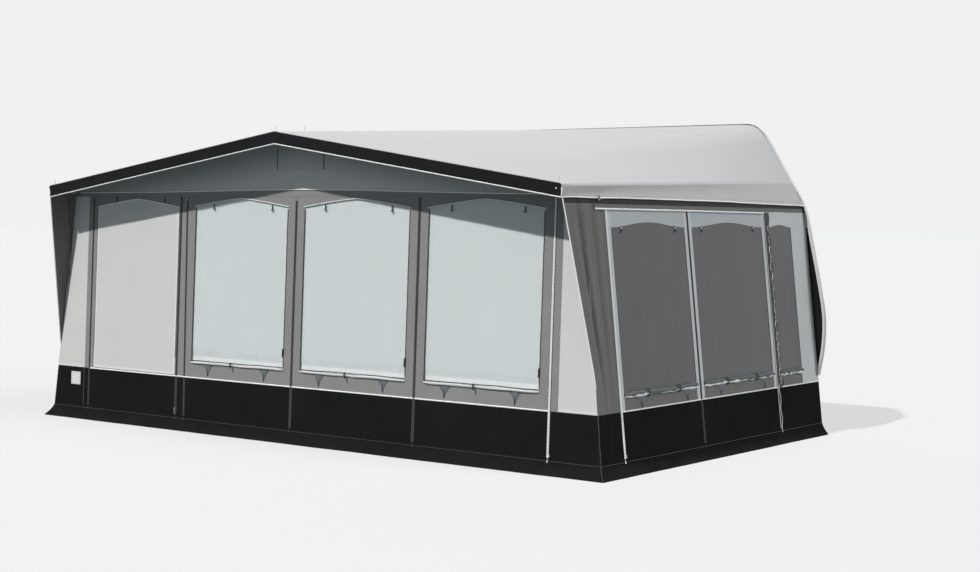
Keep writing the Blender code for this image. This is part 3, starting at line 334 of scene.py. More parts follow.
finish("tape", "wall_grey", (74, 74, 73), 0.8, 0.15, 0.08, 40, thread=0.0012)
finish("moulded", "black_plastic", (22, 22, 23), 0.4, 0.4, 0.15, 60)
finish("tab_cloth", "side_grey", (100, 106, 112), 0.6, 0.25, 0.10, 20, thread=0.0014)
# Cloth of the gathered zip cover, painted darker than the side cloth as shade in its folds
finish("gather_cloth", "side_grey", (74, 78, 78), 0.7, 0.2, 0.15, 30, thread=0.0014)
finish("roll_cloth", "side_grey", (84, 91, 91), 0.6, 0.25, 0.12, 20, thread=0.0014)
finish("hem_cloth", "light_grey", (217, 216, 212), 0.7, 0.2, 0.02, thread=0.0018)
finish("stitch", "light_grey", (172, 175, 179), 0.7, 0.2, 0.08, 60)
# Dark webbing, also used as painted shade in the band under the eave drops
finish("strap", "black_cloth", (44, 48, 50), 0.7, 0.2, 0.08, 40, thread=0.0016)
finish("net", "side_grey", (60, 62, 62), 0.8, 0.2, alpha=0.7, thread=0.002)
finish("steel", "steel", (186, 188, 192), 0.38, 0.5, 0.08, 25, metallic=0.9)


def darken_towards_roof(surface, darkest_shade):
    """The cloth's colour with painted shade: darker where the gable nears the roof's slopes."""
    tree = surface.node_tree
    base = tree.nodes["Principled BSDF"].inputs["Base Color"]
    parts = node(tree, "ShaderNodeSeparateXYZ", node(tree, "ShaderNodeTexCoord").outputs["Object"])
    across = node(tree, "ShaderNodeMath", parts.outputs["X"], operation="ABSOLUTE")
    level = node(tree, "ShaderNodeMath", across.outputs[0], CANOPY_SLOPE, parts.outputs["Z"],
                 operation="MULTIPLY_ADD")
    shade = node(tree, "ShaderNodeMapRange", Value=level.outputs[0], From_Min=PEAK_HEIGHT - 0.30,
                 From_Max=PEAK_HEIGHT - 0.09, To_Min=1.0, To_Max=darkest_shade)
    shaded = node(tree, "ShaderNodeVectorMath", base.links[0].from_socket, operation="SCALE",
                  Scale=shade.outputs["Result"])
    tree.links.new(shaded.outputs[0], base)


# Painted shade on the gable cloth, darkest just under the canopy
darken_towards_roof(FINISHES["gable_cloth"], 0.58)


# Walls as curved sheets: a place on a wall is (along, height, out)


def front_ripple(x, z):
    """How far the front cloth stands out of its plane where it is not held."""
    held = smooth((z - SEAM_HEIGHT) / 0.1) * smooth((WALL_TOP - z) / 0.06)
    return held * (0.0009 * wander(x * 5, z * 1.3, seed=3) + 0.0005 * wander(x * 17, z * 3, seed=8))


def side_ripple(y, z):
    """Upright soft folds of the side cloth, strongest beside the corner and the zips."""
    held = smooth((z - SEAM_HEIGHT) / 0.12) * smooth((1.84 - z) / 0.1)
    held *= smooth((y - FRONT_Y) / 0.06) * smooth((ROOF_REAR - y) / 0.06)
    return held * (0.0016 * wander(y * 9, z * 0.7, seed=5) + 0.0007 * wander(y * 26, z * 1.6, seed=2))


def front_plane(z):
    return FRONT_Y + (z - SEAM_HEIGHT) * FRONT_SLOPE


def side_plane(z):
    return BASE_HALF - (z - SEAM_HEIGHT) * SIDE_SLOPE


def front(x, z, out):
    return Vector((x, front_plane(z), z)) + FRONT_OUT * (out + front_ripple(x, z))


def side(sign):
    outward = Vector((sign, 0, SIDE_SLOPE)).normalized()

    def place(y, z, out):
        return Vector((sign * side_plane(z), y, z)) + outward * (out + side_ripple(y, z))

    return place


def closed_sheet(bm, point, us, vs, thick, skip=None, pick=None, inside=None):
    """A sheet through point(u, v, depth) over us and vs, closed along every free edge.

    skip leaves out cells by their middles, pick gives their finish numbers, and inside changes these
    for the inner faces."""
    made, edges = {}, {}

    def corners(keys, depth):
        for i, j in keys:
            if (i, j, depth) not in made:
                made[i, j, depth] = bm.verts.new(point(us[i], vs[j], depth))
        return [made[i, j, depth] for i, j in keys]

    for i in range(len(us) - 1):
        for j in range(len(vs) - 1):
            middle = (us[i] + us[i + 1]) / 2, (vs[j] + vs[j + 1]) / 2
            if skip and skip(*middle):
                continue
            ring = [(i, j), (i + 1, j), (i + 1, j + 1), (i, j + 1)]
            number = pick(*middle) if pick else 0
            bm.faces.new(corners(ring, 0)).material_index = number
            bm.faces.new(corners(ring[::-1], thick)).material_index = (inside or {}).get(number, number)
            for start, end in zip(ring, ring[1:] + ring[:1]):
                if edges.pop((end, start), None) is None:
                    edges[start, end] = number
    for (start, end), number in edges.items():
        face = bm.faces.new((*corners((end, start), 0), *corners((start, end), thick)))
        face.material_index = number


def skin(bm, rings):
    """The surface through rings of points, closed at both ends."""
    rings = [[bm.verts.new(point) for point in ring] for ring in rings]
    for first, second in zip(rings, rings[1:]):
        for turn in range(len(first)):
            after = (turn + 1) % len(first)
            bm.faces.new((first[turn], first[after], second[after], second[turn]))
    bm.faces.new(rings[0][::-1])
    bm.faces.new(rings[-1])


def piece(name, bm, body, finishes, soft=40):
    """A named piece from a mesh, riding on its body, with its finishes."""
    bmesh.ops.recalc_face_normals(bm, faces=bm.faces)
    mesh = bpy.data.meshes.new(name)
    bm.to_mesh(mesh)
    bm.free()
    mesh.shade_smooth()
    mesh.set_sharp_from_angle(angle=math.radians(soft))
    for item in finishes:
        mesh.materials.append(FINISHES[item])
    obj = bpy.data.objects.new(name, mesh)
    bpy.context.collection.objects.link(obj)
    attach(obj, body)
    return obj


def sheet_piece(name, point, us, vs, thick, body, finishes, **looks):
    bm = bmesh.new()
    closed_sheet(bm, point, us, vs, thick, **looks)
    return piece(name, bm, body, finishes)


def wall_sheet(name, place, us, vs, body, finishes, out=0.0, thick=CLOTH, hole=None, crown=0.0, arch=bell,
               shape=None, skip=None, **looks):
    """A sheet on a wall over us and vs. hole is a window's (left, right, sill, shoulder).

    crown lifts the window's head, or without a window the sheet's own, along an arch."""
    left, right, low, high = hole or (us[0], us[-1], vs[0], vs[-1])

    def point(u, v, depth):
        share, extra = (v - low) / (high - low), 0.0
        if hole:
            share = (vs[-1] - v) / (vs[-1] - high) if v >= high else 0.0
        v += crown * arch((u - left) / (right - left)) * share
        if shape:
            u, v, extra = shape(u, v)
        return place(u, v, out + extra - depth)

    def left_out(u, v):
        return (hole and left < u < right and low < v < high) or (skip and skip(u, v))

    return sheet_piece(name, point, us, vs, thick, body, finishes, skip=left_out, **looks)


# Trim that is collected by body and finish, and made into one piece each

TRIM = {}


def trim(body, kind):
    return TRIM.setdefault((body, kind), bmesh.new())


def tube(bm, points, radius, sides=6, flat=1.0):
    """A round or flattened cord along the points, closed at both ends."""
    rings, last = [], len(points) - 1
    along = (points[1] - points[0]).normalized()
    across = along.orthogonal() if abs(along.z) >= 0.9 else along.cross(Vector((0, 0, 1)))
    across.normalize()
    for index, point in enumerate(points):
        ahead = (points[min(index + 1, last)] - points[max(index - 1, 0)]).normalized()
        across = (across - ahead * across.dot(ahead)).normalized()
        up = ahead.cross(across)
        size = radius(index / last) if callable(radius) else radius
        rings.append([point + (across * math.cos(angle) * size * flat + up * math.sin(angle) * size)
                      for angle in turns(sides)])
    skin(bm, rings)


def stepped(path, step):
    """The (along, height) points of a path through its stops, no further apart than step."""
    points = []
    for (u, v), (end_u, end_v) in zip(path, path[1:]):
        count = max(1, math.ceil(math.hypot(end_u - u, end_v - v) / step))
        points += [(u + (end_u - u) * k / count, v + (end_v - v) * k / count) for k in range(count)]
    return [*points, path[-1]]


def cord(place, path, body, kind, radius, out=None, sides=6, step=None):
    """A cord on a wall along (along, height) points, or (along, height, out) ones where out is None."""
    if step:
        path = stepped(path, step)
    points = [place(*stop) if out is None else place(*stop, out) for stop in path]
    tube(trim(body, kind), points, radius, sides)


def ribbon(place, path, body, kind, width, out, thick, step=None):
    """A flat band on a wall along (along, height) points."""
    if step:
        path = stepped(path, step)

    def point(edge, index, depth):
        before, after = path[max(index - 1, 0)], path[min(index + 1, len(path) - 1)]
        shift = Vector((before[1] - after[1], after[0] - before[0])).normalized() * edge * width / 2
        return place(path[index][0] + shift.x, path[index][1] + shift.y, out - depth)

    closed_sheet(trim(body, kind), point, (1, -1), range(len(path)), thick)


def piping(place, path, body, radius, out):
    cord(place, path, body, "piping", radius, out, 7, step=0.05)


def stud(place, u, v, body, kind, radius, low, high):
    cord(place, [(u, v, low), (u, v, high)], body, kind, radius, sides=8)


def lap(place, left, right, z, kind):
    """A strip of the wall's cloth, lapped behind the edge of its panels."""
    ribbon(place, [(left, z), (right, z)], "shell", kind, 0.024, -0.0014, 0.0009, step=0.06)


def teeth(place, path, body, kind, radius, out, swell):
    """The toothed coil of a zip."""
    path = stepped(path, TEETH_STEP)
    last = len(path) - 1
    cord(place, path, body, kind, lambda share: radius * (1 + swell * math.cos(math.pi * share * last)), out)


def tape(place, path, body, width, out, thick):
    """The woven tape of a zip."""
    path = stepped(path, TEETH_STEP)
    ribbon(place, path[::3] + path[-1:], body, "tape", width, out, thick)


def closed_zip(path, body, radius, width, shift=0.0):
    """A closed zip of the front wall: a tape, set aside by shift, with a raised toothed coil."""
    teeth(front, path, body, "coil", radius, 0.0016, 0.22)
    tape(front, [(u + shift, v) for u, v in path], body, width, 0.0010, 0.0008)


def open_zips(place, zips, top, word=""):
    """Both sides of each zip with their teeth and tape, and its ring pull."""
    for at, before, after, kinds, radius, pull in zips:
        for towards, body, kind in zip((-1, 1), (before, after), kinds):
            body = body.format(word)
            edge = at + towards * (radius + 0.0004)
            teeth(place, [(edge, ZIP_FOOT), (edge, top)], body, kind, radius, 0.0018, 0.2)
            edge = at + towards * 0.007
            tape(place, [(edge, ZIP_FOOT), (edge, top)], body, 0.011, 0.0009, 0.0007)
        if pull:
            ring_pull(place, at + pull, ZIP_FOOT + 0.020, after.format(word), kinds[1])


def ring_pull(place, u, v, body, kind):
    ring = [(u + PULL_RADIUS * math.sin(angle), v - PULL_RADIUS - PULL_RADIUS * math.cos(angle))
            for angle in (*turns(12), 2 * math.pi)]
    cord(place, ring, body, kind, 0.0016, 0.006)


def hook(place, u, v, body):
    """A small black holder: an upright strap with a cross foot."""
    strap = [(u, v + 0.022), (u + 0.001, v), (u + 0.002, v - 0.012)]
    ribbon(place, strap, body, "moulded", 0.009, 0.0060, 0.003)
    cord(place, [(u - 0.012, v - 0.014), (u + 0.015, v - 0.014)], body, "moulded", 0.0036, 0.0055, 8)
    stud(place, u, v + 0.020, body, "moulded", 0.0055, 0.001, 0.007)


def fishtail(place, u, v, body, width, height):
    """A gathered tab: its sides draw in to a pleated point."""

    def point(s, t, depth):
        size = width * (0.06 + 0.94 * (1 - t) ** 1.5)
        bulge = 0.006 * math.cos(math.pi * s) * (1 - 0.6 * t) + 0.003 * math.cos(6 * math.pi * s) * t
        return place(u + s * size, v - height * t, 0.0022 + bulge - depth)

    shares = shares_of(10)
    closed_sheet(trim(body, "tab_cloth"), point, [share - 0.5 for share in shares], shares, CLOTH)
    upright = [(u, v - height * t, 0.010 - 0.004 * t) for t in (0.35, 0.6, 0.9, 1.04)]
    cord(place, upright, body, "strap", 0.0016)
    cord(place, [(u + width * s, v + 0.001) for s in (-0.50, -0.2, 0.2, 0.50)], body, "strap", 0.0016, 0.009)


def hem_line(path, body, out, width=0.024):
    """A turned hem of the front wall: a second layer with a stitched line along each edge."""
    ribbon(front, path, body, "hem_cloth", width, out, 0.0009, step=0.05)
    (u, v), (end_u, end_v) = path
    upright = abs(end_v - v) > abs(end_u - u)
    for offset in (width / 2 - 0.003, 0.003 - width / 2):
        edge = [(a + offset, b) if upright else (a, b + offset) for a, b in path]
        cord(front, edge, body, "stitch", 0.0007, out, 5, step=0.05)


# Front wall


def body_of_bay(number):
    return "door" if number == 1 else f"bay_{number}"


def window_area(left, right, sill, shoulder, crown):
    return (right - left) * (shoulder - sill + crown / 2)


def front_panel(number):
    left, right = BAYS[number]
    window = WINDOWS[number]
    body = body_of_bay(number)
    us = spread(left, *window, right, step=0.03)
    vs = spread(PANEL_FOOT, MUD_TOP, WINDOW_SILL, WINDOW_SHOULDER, PANEL_TOP, step=0.035)
    panel = wall_sheet(f"front_cloth_{number}", front, us, vs, body, ("wall_cloth", "mud_cloth"),
                       hole=(*window, WINDOW_SILL, WINDOW_SHOULDER), crown=WINDOW_CROWN, arch=gabled,
                       pick=lambda u, v: int(v < MUD_TOP))
    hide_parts(f"front_panel_{number}")
    size = (right - left, PANEL_TOP - PANEL_FOOT)
    area = size[0] * size[1] - window_area(*window, WINDOW_SILL, WINDOW_SHOULDER, WINDOW_CROWN)

    us = spread(window[0] - PANE_LAP, window[1] + PANE_LAP, step=0.03)
    vs = spread(WINDOW_SILL - PANE_LAP, WINDOW_SHOULDER + PANE_LAP, step=0.05)
    pane = wall_sheet(f"front_foil_{number}", front, us, vs, body, ("clear_foil",), out=-DEPTH_OF_FOIL,
                      thick=FOIL, crown=WINDOW_CROWN, arch=gabled)
    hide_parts(f"front_pane_{number}")


def window_trim(number):
    """The piped head, dark side zips, hooks, tabs and toggles of a front window."""
    covered = number == 1
    left, right = COVER if covered else WINDOWS[number]
    width = right - left
    body = "door_cover" if covered else body_of_bay(number)
    out, over, lift = (0.0045, -0.004, -0.004) if covered else (0.002, PANE_LAP, 0.004)
    arch = [(left - over + (width + 2 * over) * share, WINDOW_SHOULDER + lift + WINDOW_CROWN * gabled(share))
            for share in shares_of(24)]
    piping(front, arch, body, 0.0034, out)
    for edge, inwards in ((left, 1), (right, -1)):
        heights = [WINDOW_ZIP_TOP - (WINDOW_ZIP_TOP - WINDOW_SILL - 0.012) * share for share in shares_of(48)]
        points = [(edge + inwards * 0.003 + 0.0016 * wander(v * 7, edge * 3, seed=4), v) for v in heights]
        cord(front, points, body, "coil", 0.002 if covered else 0.0034, out - 0.001)
    if covered:
        for u in DOOR_HOLDERS:
            hook(front, u, 1.868, "door")
        return
    for share in (0.205, 0.835):
        hook(front, left + width * share, WINDOW_SHOULDER + WINDOW_CROWN * gabled(share) - 0.034, body)
    for share in (0.19, 0.80):
        fishtail(front, left + width * share, WINDOW_SILL - 0.021, body, 0.110, 0.088)
    toggle(left + width * 0.46, WINDOW_SILL - 0.012, body)
    cord(front, [(right - 0.004, 0.72), (right - 0.006, 0.655)], body, "moulded", 0.006, 0.008, 8, step=0.04)


def toggle(u, v, body):
    bar = [(u - 0.004, v + 0.018, 0.026), (u, v, 0.030), (u + 0.003, v - 0.020, 0.024)]
    cord(front, bar, body, "moulded", 0.0062, sides=8)
    loop = [(u + 0.008 * math.cos(angle), v + 0.018 * math.sin(angle)) for angle in (0.5, 1.4, 2.4, 3.3)]
    cord(front, loop, body, "strap", 0.002, 0.020)


def closed_cover():
    left, right = COVER
    cover = wall_sheet("door_window_cover", front, spread(left, right, step=0.03),
                       spread(COVER_FOOT, WINDOW_SHOULDER, step=0.035), "door_cover", ("light_cloth",),
                       out=0.0028, crown=WINDOW_CROWN, arch=gabled)
    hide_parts("front_cover_1")
    for x in (left + 0.014, right - 0.014):
        hem_line([(x, COVER_FOOT + 0.001), (x, WINDOW_SHOULDER - 0.004)], "door_cover", 0.0038)
    foot = COVER_FOOT + 0.013
    hem_line([(left + 0.028, foot), (right - 0.028, foot)], "door_cover", 0.0036)


def rolled_cover(number):
    """The window's cover, rolled up under the sill: a slack flattened roll with its turns at each end, and a dark
    cord along it as a painted shadow line.
    """
    left, right = WINDOWS[number]
    width = right - left
    body = body_of_bay(number)
    rings = []
    for share in shares_of(64):
        sway = 0.004 * wander(share * 5, number, seed=1) + 0.0016 * wander(share * 19, number, seed=6)
        pinch = hump(share, 0.46, 1 / 26) + hump(share, 0, 1 / 30) + hump(share, 1, 1 / 30)
        radius = 0.0095 * (1 - 0.3 * min(pinch, 1))
        ring = []
        for angle in turns(20):
            wrinkle = 1 + 0.10 * wander(share * 14, math.cos(angle), math.sin(angle), seed=number)
            wrinkle += 0.06 * math.cos(angle * 3 + share * 9)
            high = radius * wrinkle * math.cos(angle)
            deep = radius * 0.6 * (wrinkle * math.sin(angle) + 1) + 0.001
            ring.append(front(left + width * share, WINDOW_SILL - 0.010 + sway + high, deep))
        rings.append(ring)
    bm = bmesh.new()
    skin(bm, rings)
    roll = piece(f"rolled_cover_{number}", bm, body, ("light_cloth",), soft=60)
    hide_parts(f"front_cover_roll_{number}")
    # A dark strap cord along the roll's top edge: a painted shadow line
    painted_shadow_line = [(left + width * share, WINDOW_SILL + 0.006 + 0.004 * wander(share * 6.6, number, seed=12)
             + 0.003 * hump(share, 0.46, 1 / 26)) for share in shares_of(60)]
    cord(front, painted_shadow_line, body, "strap", 0.0034, 0.004)


def curtain(number):
    """A flat-hanging curtain with a few shallow folds and a hem."""
    left, right = WINDOWS[number][0] - 0.012, WINDOWS[number][1] + 0.012
    folds = 4 + number / 2
    vs = spread(CURTAIN_FOOT, CURTAIN_HEM, 0.70, step=0.014) + spread(0.70, CURTAIN_TOP, step=0.06)[1:]

    def shape(u, v):
        share = (u - left) / (right - left)
        hang = 1 - 0.45 * (v - CURTAIN_FOOT) / (CURTAIN_TOP - CURTAIN_FOOT)
        drift = share + 0.010 * wander(v * 1.5, number, seed=9)
        fold = 0.0013 * hang * (math.cos(2 * math.pi * folds * drift) - 1)
        fold -= 0.0012 * hang * (1 + wander(share * 6, v * 0.8, seed=number))
        fold -= 0.004 * (1 + wander(share * 34, v * 9, seed=number + 5)) * hump(v, 0.61, 0.035)
        return u, v, fold

    drape = wall_sheet(f"window_curtain_{number}", front, spread(left, right, step=0.012), vs,
                       body_of_bay(number), ("curtain_cloth", "curtain_hem"), out=-DEPTH_OF_CURTAIN,
                       thick=0.0008, shape=shape, pick=lambda u, v: int(v < CURTAIN_HEM))
    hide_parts(f"curtain_{number}")


def front_corner(sign, word):
    """The fixed strip between the corner and the first zip: a grey band, then light cloth."""
    inner, band = CORNER_STRIPS[word]

    def shape(u, v):
        edge = side_plane(v) - 0.0034
        x = inner + (band - inner) * u if u <= 1 else band + (edge - band) * (u - 1)
        return sign * x, v, 0.0

    strip = wall_sheet(f"corner_strip_{word}", front, spread(0.0, 1.0, 2.0, step=0.25),
                       spread(PANEL_FOOT, MUD_TOP, PANEL_TOP, step=0.04), "shell",
                       ("light_cloth", "mud_cloth", "wall_cloth"), shape=shape,
                       pick=lambda u, v: 1 if v < MUD_TOP else (2 if u < 1 else 0))
    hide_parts(f"front_corner_{word}")
    ends = sorted((sign * (band + 0.004), sign * (BASE_HALF - 0.040)))
    hem_line([(x, MUD_TOP + 0.012) for x in ends], "shell", 0.0012, 0.020)


def label():
    """The bare label on the mud strip: a light patch, stitched round its edge."""
    left, right, low, high = LABEL
    middle = (low + high) / 2
    ribbon(front, [(left, middle), (right, middle)], "shell", "hem_cloth", high - low, 0.0022, 0.0012, step=0.03)
    inset = 0.008
    left, right, low, high = left + inset, right - inset, low + inset, high - inset
    seam = [(left, low), (right, low), (right, high), (left, high), (left, low)]
    cord(front, seam, "shell", "stitch", 0.0010, 0.0024, 5, step=0.02)


def front_zips():
    """Both sides of each zip of the front wall, and the second zips beside the door."""
    open_zips(front, FRONT_ZIPS, FRONT_ZIP_TOP)
    # The door's hinge side: a closed zip that stays on the wall
    closed_zip([(HINGE_ZIP, ZIP_FOOT), (HINGE_ZIP, FRONT_ZIP_TOP)], "shell", 0.0032, 0.017, -0.0015)
    cord(front, [(-2.465, ZIP_FOOT), (-2.465, MUD_TOP)], "shell", "tape", 0.0042, 0.001, step=0.05)
    closed_zip([(-1.245, FRONT_ZIP_TOP), (-1.216, ZIP_FOOT)], "bay_2", 0.0034, 0.020)
    for x, body in ((-1.243, "bay_2"), (-0.018, "bay_3")):
        tag = [(x - 0.002, 1.886), (x + 0.004, 1.876), (x + 0.001, 1.862)]
        cord(front, tag, body, "light_coil", 0.0034, 0.007, 8)


def mud_piping():
    lap(front, -2.62, 2.62, PANEL_TOP + 0.003, "wall_cloth")
    lap(front, 0.002 - BASE_HALF, BASE_HALF - 0.002, SEAM_HEIGHT, "mud_cloth")
    for number, (left, right) in BAYS.items():
        piping(front, [(left + 0.006, MUD_TOP), (right - 0.001, MUD_TOP)], body_of_bay(number), 0.0056, 0.0015)


# Side walls


def side_top(y):
    share = (y - WING_FRONT) / (ROOF_REAR - WING_FRONT)
    return SIDE_TOP_FRONT + (SIDE_TOP_REAR - SIDE_TOP_FRONT) * share


def drop_foot(back):
    """Height of the eave drop's foot, at a share of the roof's depth."""
    return DROP_FRONT_HEIGHT + (DROP_REAR_HEIGHT - DROP_FRONT_HEIGHT) * back


def corner_fold(share, z):
    """Upright folds of the slack cloth beside the corner."""
    hang = smooth((z - 0.45) / 0.7) * smooth((1.90 - z) / 0.12)
    fold = sum(depth * hump(share, centre, width) for centre, depth, width in CORNER_FOLDS)
    return fold * (0.25 + 0.75 * hang)


def wing_edge(z):
    """Front edge of the side wall's cloth: the corner, then the wing that reaches out under the canopy."""
    if z < WING_FOOT:
        return front_plane(z)
    start = front_plane(WING_FOOT)
    return start + (FRONT_Y + WING_REACH - start) * min((z - WING_FOOT) / (WING_TOP - WING_FOOT), 1)


def side_corner(sign, word):
    """The corner with its wing under the canopy, and the strip over the zipped panels, both with a band of painted
    shade under the eave drop.
    """
    place = side(sign)
    rear = SIDE_PANELS[1][0] - 0.004
    # Rows above the wing's top are stretched to the wall's sloping head
    head_row = 2.0

    def shape(u, v):
        y, z = wing_edge(v) + (rear - wing_edge(v)) * u, v
        if v > WING_TOP:
            z = WING_TOP + (side_top(y) - WING_TOP) * (v - WING_TOP) / (head_row - WING_TOP)
        return y, z, corner_fold(u, z)

    vs = spread(PANEL_FOOT, MUD_TOP, WING_FOOT, PAINTED_SHADE_FOOT, WING_TOP, head_row, step=0.035)
    # Above the band's foot the outer face takes the strap cloth as painted shade under the eave drop; the inner
    # face stays side cloth
    corner = wall_sheet(f"side_corner_cloth_{word}", place, spread(0.0, 1.0, step=0.016), vs, "shell",
                        ("side_cloth", "mud_cloth", "strap"), shape=shape,
                        pick=lambda u, v: 1 if v < MUD_TOP else 2 * int(v > PAINTED_SHADE_FOOT), inside={2: 0})
    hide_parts(f"side_corner_{word}")

    def header_shape(y, row):
        share = (y - ROOF_FRONT) / (ROOF_REAR - ROOF_FRONT)
        foot, head = drop_foot(share), SIDE_ZIP_TOP + 0.004
        # From here up to the drop's foot the strap cloth is painted shade under the eave drop
        painted_shade_edge = foot - 0.040 + 0.014 * share
        stops = (head, (head + painted_shade_edge) / 2, painted_shade_edge, foot, side_top(y))
        return y, stops[round(row)], 0.0

    strip = wall_sheet(f"side_header_{word}", place, spread(rear, ROOF_REAR, step=0.04), range(5), "shell",
                       ("side_cloth", "strap"), pick=lambda u, row: int(row > 2), shape=header_shape)
    piping(place, [(wing_edge(z), z) for z in spread(WING_FOOT, WING_TOP, step=0.04)], "shell",
           lambda share: 0.0042 * (0.2 + 0.8 * smooth(share / 0.08)), 0.001)


def side_panel(sign, word, number):
    place = side(sign)
    left, right = SIDE_PANELS[number]
    window = SIDE_WINDOWS[number]
    width = window[1] - window[0]
    zipped = number < 3
    crown = SIDE_CROWN if zipped else REAR_CROWN
    body = f"side_{number}_{word}" if zipped else "shell"
    us = spread(left, *window, right, step=0.035)
    vs = spread(PANEL_FOOT, MUD_TOP, SIDE_SILL, SIDE_SHOULDER, BAR_HEIGHT, SIDE_ZIP_TOP, step=0.035)

    def pick(u, v):
        if v < MUD_TOP:
            return 1
        within = window[0] < u < window[1]
        if v > BAR_HEIGHT or (within and v < SIDE_SILL):
            return 2
        return 3 if within and v > SIDE_SHOULDER and zipped else 0

    # The side cloth here is painted darker than the front wall, as shade of the side
    panel = wall_sheet(f"side_cloth_{number}_{word}", place, us, vs, body,
                       ("border_cloth", "mud_cloth", "side_cloth", "header_cloth"),
                       hole=(*window, SIDE_SILL, SIDE_SHOULDER), crown=crown, pick=pick)
    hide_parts(f"side_panel_{number}_{word}" if number < 3 else f"side_rear_{word}")
    size = (right - left, SIDE_ZIP_TOP - PANEL_FOOT)
    area = size[0] * size[1] - window_area(*window, SIDE_SILL, SIDE_SHOULDER, crown)

    us = spread(window[0] - PANE_LAP, window[1] + PANE_LAP, step=0.03)
    vs = spread(SIDE_SILL - PANE_LAP, SIDE_SHOULDER + PANE_LAP, step=0.05)
    pane = wall_sheet(f"side_foil_{number}_{word}", place, us, vs, body, ("dark_foil",), out=-DEPTH_OF_FOIL,
                      thick=FOIL, crown=crown)
    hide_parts(f"side_pane_{number}_{word}")
    piping(place, [(left + 0.001, MUD_TOP), (right - 0.001, MUD_TOP)], body, 0.0050, 0.0015)
    side_roll(place, window, body, number)
    for share in (0.22, 0.85) if zipped else (0.12,):
        fishtail(place, window[0] + width * share, SIDE_SILL - 0.034, body, 0.125, 0.080)
    for share in (0.13, 0.865) if zipped else ():
        u = window[0] + width * share
        hook(place, u, SIDE_SHOULDER + SIDE_CROWN * bell(share) - 0.022, body)
        stud(place, u - 0.004, SIDE_SHOULDER - 0.004, body, "piping", 0.006, 0.0, 0.008)


def side_roll(place, window, body, number):
    """The rolled cover under a side window: crumpled light and dark cloth between its straps."""
    left, width = window[0], window[1] - window[0]
    for kind, lift, size, seed in (("hem_cloth", -0.006, 0.011, 1), ("roll_cloth", 0.006, 0.014, 5)):
        rings = []
        for share in shares_of(56):
            sway = 0.007 * wander(share * 6, number, seed=seed) + 0.003 * wander(share * 21, number, seed=seed + 1)
            tied = sum(hump(share, at, 1 / 34) for at in (0.02, 0.30, 0.72, 0.98))
            radius = size * (1 - 0.45 * min(tied, 1)) * (1 + 0.55 * wander(share * 13, number, seed=seed + 2))
            ring = []
            for angle in turns(14):
                deep = radius * (1 + math.sin(angle)) * 0.8 + 0.001
                high = radius * (math.cos(angle) + 0.15 * math.cos(3 * angle + share * 20))
                ring.append(place(left + width * share, SIDE_SILL - 0.022 + lift + sway + high, deep))
            rings.append(ring)
        skin(trim(body, kind), rings)
    for share in (0.30, 0.72) if number < 3 else ():
        loop = [place(left + width * share, SIDE_SILL - 0.018 + 0.026 * math.cos(angle),
                      0.012 + 0.014 * math.sin(angle)) for angle in (-0.5, 0.2, 0.8, 1.57, 2.3, 3.0, 3.6)]
        tube(trim(body, "strap"), loop, 0.004, flat=1.8)


def side_trim(sign, word):
    place = side(sign)
    open_zips(place, SIDE_ZIPS, SIDE_ZIP_TOP - 0.010, word)
    bar = [(-1.377, 1.816), (-0.2, 1.811), (1.000, 1.802)]
    cord(place, bar, "shell", "piping", 0.0066, 0.010, 10, step=0.04)
    sleeve = [(u, v + 0.016) for u, v in bar]
    ribbon(place, sleeve, "shell", "side_cloth", 0.030, 0.0085, 0.0010, step=0.06)
    lap(place, -1.23, 1.73, SIDE_ZIP_TOP + 0.002, "side_cloth")
    clip = [(-1.342, 1.906), (-1.334, 1.888), (-1.320, 1.876), (-1.312, 1.866)]
    cord(place, clip, "shell", "tape", 0.0060, 0.024, 8)
    cord(place, [(u - 0.010, v - 0.004) for u, v in clip[:3]], "shell", "hem_cloth", 0.0034, 0.026, 8)
    ruffle(place, 1.0300, 1.1000)
    weave = [(1.056 + 0.008 * math.sin(v * 58 + 4.0 * wander(v * 5, seed=14)) + 0.014 * wander(v * 23, seed=2), v)
             for v in spread(0.46, 1.70, step=0.008)]
    cord(place, weave, "shell", "hem_cloth", lambda share: 0.0008 + 0.0058 * abs(wander(share * 55, seed=9)),
         0.0135)
    thread = [(1.036 + 0.007 * math.sin(v * 41) + 0.003 * wander(v * 9, seed=4), v)
              for v in spread(0.090, 0.46, step=0.006)]
    cord(place, thread, "shell", "light_coil", 0.0028, 0.008)
    ribbon(place, [(1.030, 0.120), (1.030, 1.80)], "shell", "tape", 0.006, 0.0018, 0.0010, step=0.05)


def ruffle(place, left, right):
    """The gathered cover of the rear zip, drawn up into small uneven folds, its cloth painted darker as the shade
    in them.
    """

    def point(u, v, depth):
        share = (u - left) / (right - left)
        phase = v * 46 + 9 * share + 3 * wander(v * 6, seed=21)
        fold = 0.011 * abs(math.sin(phase)) * math.sin(math.pi * share) ** 0.5 + 0.001
        sway = 0.011 * math.sin(v * 29 + 1.6 * wander(v * 4, seed=3)) * share
        return place(u + sway, v, fold + 0.001 - depth)

    us = spread(left, right, step=(right - left) / 6)
    closed_sheet(trim("shell", "gather_cloth"), point, us, spread(0.425, 1.805, step=0.008), 0.001)


# Ground skirt


def flared(share):
    """How far the skirt stands out, at a share of its fall."""
    return SKIRT_FLARE * share**SKIRT_POWER


